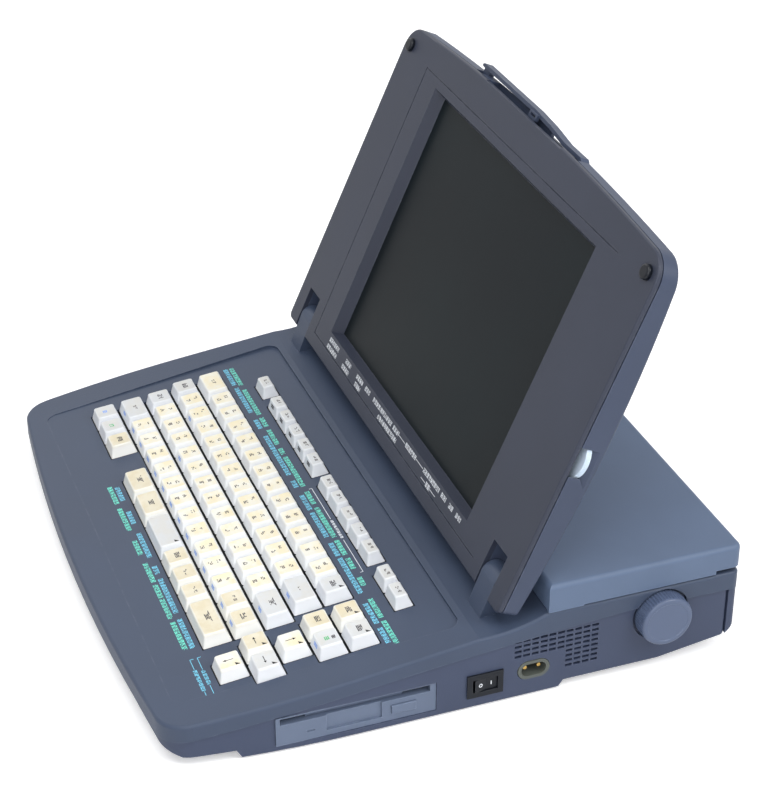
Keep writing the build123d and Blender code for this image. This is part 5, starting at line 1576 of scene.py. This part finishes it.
@dataclass(frozen=True)
class PlatenKnob:
    """The ribbed knob on the platen shaft."""

    node: str = "platen_knob"
    body: str = "platen"
    rib_radius: float = 0.55
    rib_count: int = 54
    rib_sides: int = 10
    chamfer: float = 0.9
    round_steps: int = 6
    bore_radius: float = 4.05
    bore_depth: float = 5.0
    face_round: float = 1.5
    face_dish: float = 0.3
    dish_radius: float = 12.6
    steps: int = 108

    def rib_tree(self) -> Grower:
        """Geometry tree of the ribs round the rim, about the X axis."""
        tree = Grower("knob_ribs")
        radius, length, size = tree.given("Float", "Radius", "Length", "Rib Radius")
        (count,), (material,) = tree.given("Int", "Count"), tree.given("Material", "Material")
        rim = tree.shape("Circle", Vertices=count, Radius=radius)
        bar = tree.shape("Cylinder", Vertices=self.rib_sides, Radius=size, Depth=length)
        copies = {"Points": rim, "Instance": bar}
        ribs = tree.add("GeometryNodeInstanceOnPoints", {}, copies)
        turn = {"Geometry": ribs, "Rotation": (0.0, math.pi / 2, 0.0)}
        tree.close(tree.add("GeometryNodeTransform", {}, turn), material)
        return tree

    def profile(self, length: float, rim: float) -> list[Pair]:
        """Distance from the inner end and radius along the outline, from the bore to the face.

        Args:
            length: Length of the knob.
            rim: Radius at the foot of the ribs.

        Returns:
            The outline.
        """
        bore, face = self.bore_radius, length - self.face_dish
        line = [(self.bore_depth, 0.0), (self.bore_depth, bore), (0.0, bore)]
        line += [(0.0, rim - self.chamfer), (self.chamfer, rim)]
        for index in range(self.round_steps + 1):
            turn = math.pi / 2 * index / self.round_steps
            x = length - self.face_round * (1 - math.sin(turn))
            line.append((x, rim - self.face_round * (1 - math.cos(turn))))
        return line + [(length, self.dish_radius + 0.4), (face, self.dish_radius), (face, 0.0)]

    def turned_body(self, name: str, length: float, rim: float) -> Sheet:
        """Turn the outline about the X axis.

        Args:
            name: Name of the mesh.
            length: Length of the knob.
            rim: Radius at the foot of the ribs.

        Returns:
            The closed body.
        """
        sheet, finish = Sheet(name), "knob_plastic"
        rings = []
        for x, radius in self.profile(length, rim):
            turns = [2 * math.pi * i / self.steps for i in range(self.steps if radius else 1)]
            places = [(x, radius * math.cos(turn), radius * math.sin(turn)) for turn in turns]
            rings.append([sheet.point(place) for place in places])
        sheet.fan(rings[1][::-1], rings[0][0], finish)
        for low, high in zip(rings[1:], rings[2:-1]):
            sheet.ring_wall(low, high, finish)
        sheet.fan(rings[-2], rings[-1][0], finish)
        return sheet

    def build(self, finishes: Finishes) -> None:
        """Build the knob in place of the plain one.

        Args:
            finishes: Every finish by slot.
        """
        low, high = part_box(self.node)
        length = (high.x - low.x) / MM
        outer = (high.y - low.y) / 2 / MM
        blank = self.turned_body("knob_blank", length, outer - self.rib_radius * 0.8)
        blank = blank.build(finishes)
        values = {
            "Radius": (outer - self.rib_radius) * MM,
            "Length": (length - 2 * self.face_round) * MM,
            "Count": self.rib_count,
            "Rib Radius": self.rib_radius * MM,
            "Material": finishes["knob_plastic"],
        }
        ribs = self.rib_tree().grow(values)
        seat = Matrix.Translation(Vector((low.x, (low.y + high.y) / 2, (low.z + high.z) / 2)))
        middle = seat @ Matrix.Translation(Vector((length / 2 * MM, 0.0, 0.0)))
        parts = [(blank.data.copy(), seat), (ribs, middle)]
        obj = joined("platen_knob_ribbed", parts, smooth=True)
        bpy.data.objects.remove(blank)
        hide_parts(self.node)
        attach(obj, self.body)
        log.info("knob: %d ribs", self.rib_count)


@dataclass(frozen=True)
class RockerMarks:
    """The ring and the bar moulded in white on the power rocker."""

    node: str = "power_rocker"
    body: str = "rocker"
    ring_radius: float = 1.25
    ring_width: float = 0.5
    bar_height: float = 2.5
    thickness: float = 0.08
    sink: float = 0.05
    ring_sides: int = 24
    ring_place: float = -3.4
    bar_place: float = 3.4

    def build(self, finishes: Finishes) -> None:
        """Build both marks on the rocker's outer face.

        Args:
            finishes: Every finish by slot.
        """
        skin = Skin(self.node)
        low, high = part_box(self.node)
        middle = (low + high) / 2
        sheet = Sheet("rocker_marks")

        def place(dy: float, dz: float, out: float) -> Point:
            """Point over the rocker's face, in millimetres."""
            start = Vector((high.x + 0.02, middle.y + dy * MM, middle.z + dz * MM))
            hit = skin.hit(start, Vector((-1.0, 0.0, 0.0)))
            return hit.x / MM + out, hit.y / MM, hit.z / MM

        inside, top, foot = self.ring_radius - self.ring_width, self.thickness, -self.sink
        rings = []
        rim = self.ring_radius
        turns = [2 * math.pi * index / self.ring_sides for index in range(self.ring_sides)]
        for radius, out in ((inside, foot), (inside, top), (rim, top), (rim, foot)):
            ring = []
            for turn in turns:
                dy = self.ring_place + radius * math.cos(turn)
                ring.append(sheet.point(place(dy, radius * math.sin(turn), out)))
            rings.append(ring)
        for inner, outer in zip(rings, rings[1:] + rings[:1]):
            sheet.ring_wall(inner, outer, "ink_white")
        half, tall = self.ring_width / 2, self.bar_height / 2
        corners = [(-half, -tall), (half, -tall), (half, tall), (-half, tall)]
        lower, upper = (
            [sheet.point(place(self.bar_place + dy, dz, out)) for dy, dz in corners]
            for out in (foot, top)
        )
        sheet.slab(lower, upper, "ink_white")
        obj = sheet.build(finishes, smooth=False)
        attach(obj, self.body)
        log.info("rocker marks ready")


# ---------------------------------------------------------------- studio


@dataclass
class Studio:
    """Camera, floor, lamps and surroundings."""

    eye: Point = (1067.745, -366.167, 774.371)
    right: Point = (0.345928, 0.938261, -0.000254)
    down: Point = (0.478968, -0.176824, -0.859839)
    ahead: Point = (-0.806799, 0.297321, -0.510565)
    focal: float = 2103.49
    centre: tuple[float, float] = (386.51, 400.96)
    frame_size: tuple[int, int] = (781, 800)
    sensor: float = 36.0
    aim: Point = (0.0, 0.0, 0.08)
    floor_half: float = 6.0
    floor_lift: float = 0.34
    soft_light: float = 0.42

    def camera(self) -> None:
        """Camera at the place from which the photograph was taken."""
        width, height = self.frame_size
        long_side = max(width, height)
        data = bpy.data.cameras.new("photo_camera")
        data.sensor_width = self.sensor
        data.lens = self.focal * self.sensor / long_side
        data.shift_x = (width / 2 - self.centre[0]) / long_side
        data.shift_y = (self.centre[1] - height / 2) / long_side
        data.clip_start, data.clip_end = 0.01, 50.0
        cam = placed("photo_camera", data)
        axes = Vector(self.right), -Vector(self.down), -Vector(self.ahead)
        turn = Matrix(axes).transposed().to_4x4()
        cam.matrix_world = Matrix.Translation(Vector(self.eye) * MM) @ turn
        bpy.context.scene.camera = cam

    def floor(self) -> None:
        """Plain pale floor that reads white to the camera and keeps the shadow."""
        graph = Graph("floor")
        mottle = graph.noise(graph.place(), 6.0, 2.0)
        colour = graph.blend(mottle * 0.3, srgb(250, 250, 250), srgb(246, 246, 248))
        seen = graph.add("ShaderNodeLightPath", {}, {}, "Is Camera Ray")
        lift = graph.blend(seen, (0.0, 0.0, 0.0), (self.floor_lift,) * 3)
        fixed = {"Roughness": 0.9, "Specular IOR Level": 0.1, "Emission Strength": 1.0}
        material = graph.surface({"Base Color": colour, "Emission Color": lift}, fixed)
        mesh = bpy.data.meshes.new("floor")
        sides = [(-1, -1), (1, -1), (1, 1), (-1, 1)]
        corners = [(x * self.floor_half, y * self.floor_half, 0.0) for x, y in sides]
        mesh.from_pydata(corners, [], [(0, 1, 2, 3)])
        mesh.materials.append(material)
        placed("floor", mesh)

    def lamp(self, name: str, place: Point, size: float, power: float) -> None:
        """Square soft lamp aimed at the object.

        Args:
            name: The lamp's name.
            place: Where it hangs, in metres.
            size: Side of the square in metres.
            power: Power in watts.
        """
        data = bpy.data.lights.new(name, "AREA")
        data.size = size
        data.energy = power
        obj = placed(name, data)
        obj.location = place
        aim = Vector(self.aim) - Vector(place)
        obj.rotation_mode = "QUATERNION"
        obj.rotation_quaternion = aim.to_track_quat("-Z", "Y")

    def surroundings(self) -> None:
        """World that is white to the eye and in reflections, and lights softly."""
        graph = Graph("surroundings", "worlds")
        bpy.context.scene.world = graph.owner
        camera, through, mirrored = (
            graph.add("ShaderNodeLightPath", {}, {}, f"Is {kind} Ray")
            for kind in ("Camera", "Transmission", "Glossy")
        )
        seen = camera.larger(through).larger(mirrored)
        limits = {"Value": seen, "To Min": self.soft_light, "To Max": 1.0}
        level = graph.add("ShaderNodeMapRange", {}, limits)
        white = {"Color": (1.0, 1.0, 1.0), "Strength": level}
        graph.close(graph.add("ShaderNodeBackground", {}, white), "World")

    def build(self) -> None:
        """Set up the whole studio."""
        self.camera()
        self.floor()
        self.lamp("top_lamp", (0.5, -0.5, 2.0), 1.4, 18.0)
        self.lamp("rear_lamp", (1.3, 1.1, 1.5), 1.2, 24.0)
        self.lamp("right_lamp", (1.5, -0.7, 0.9), 0.9, 9.0)
        self.lamp("left_lamp", (-1.6, -0.4, 1.4), 1.2, 5.0)
        self.surroundings()
        bpy.context.scene.view_settings.view_transform = "Standard"
        log.info("studio ready")


def main() -> None:
    """Build every sub-assembly in order."""
    logging.basicConfig(level=logging.INFO, format="%(message)s")
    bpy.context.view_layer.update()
    finishes = all_finishes()
    Studio().build()
    dress_nodes(finishes)
    Keyboard().build(finishes)
    shop = PrintShop(finishes)
    shop.print_on("deck_print", "case", Skin("upper_case"), DECK, deck_strips())
    shop.print_on("lid_print", "lid", Skin("lid_bezel"), LID, lid_strips())
    ScrewSet().build(finishes)
    PlatenKnob().build(finishes)
    RockerMarks().build(finishes)


if __name__ == "__main__":
    main()
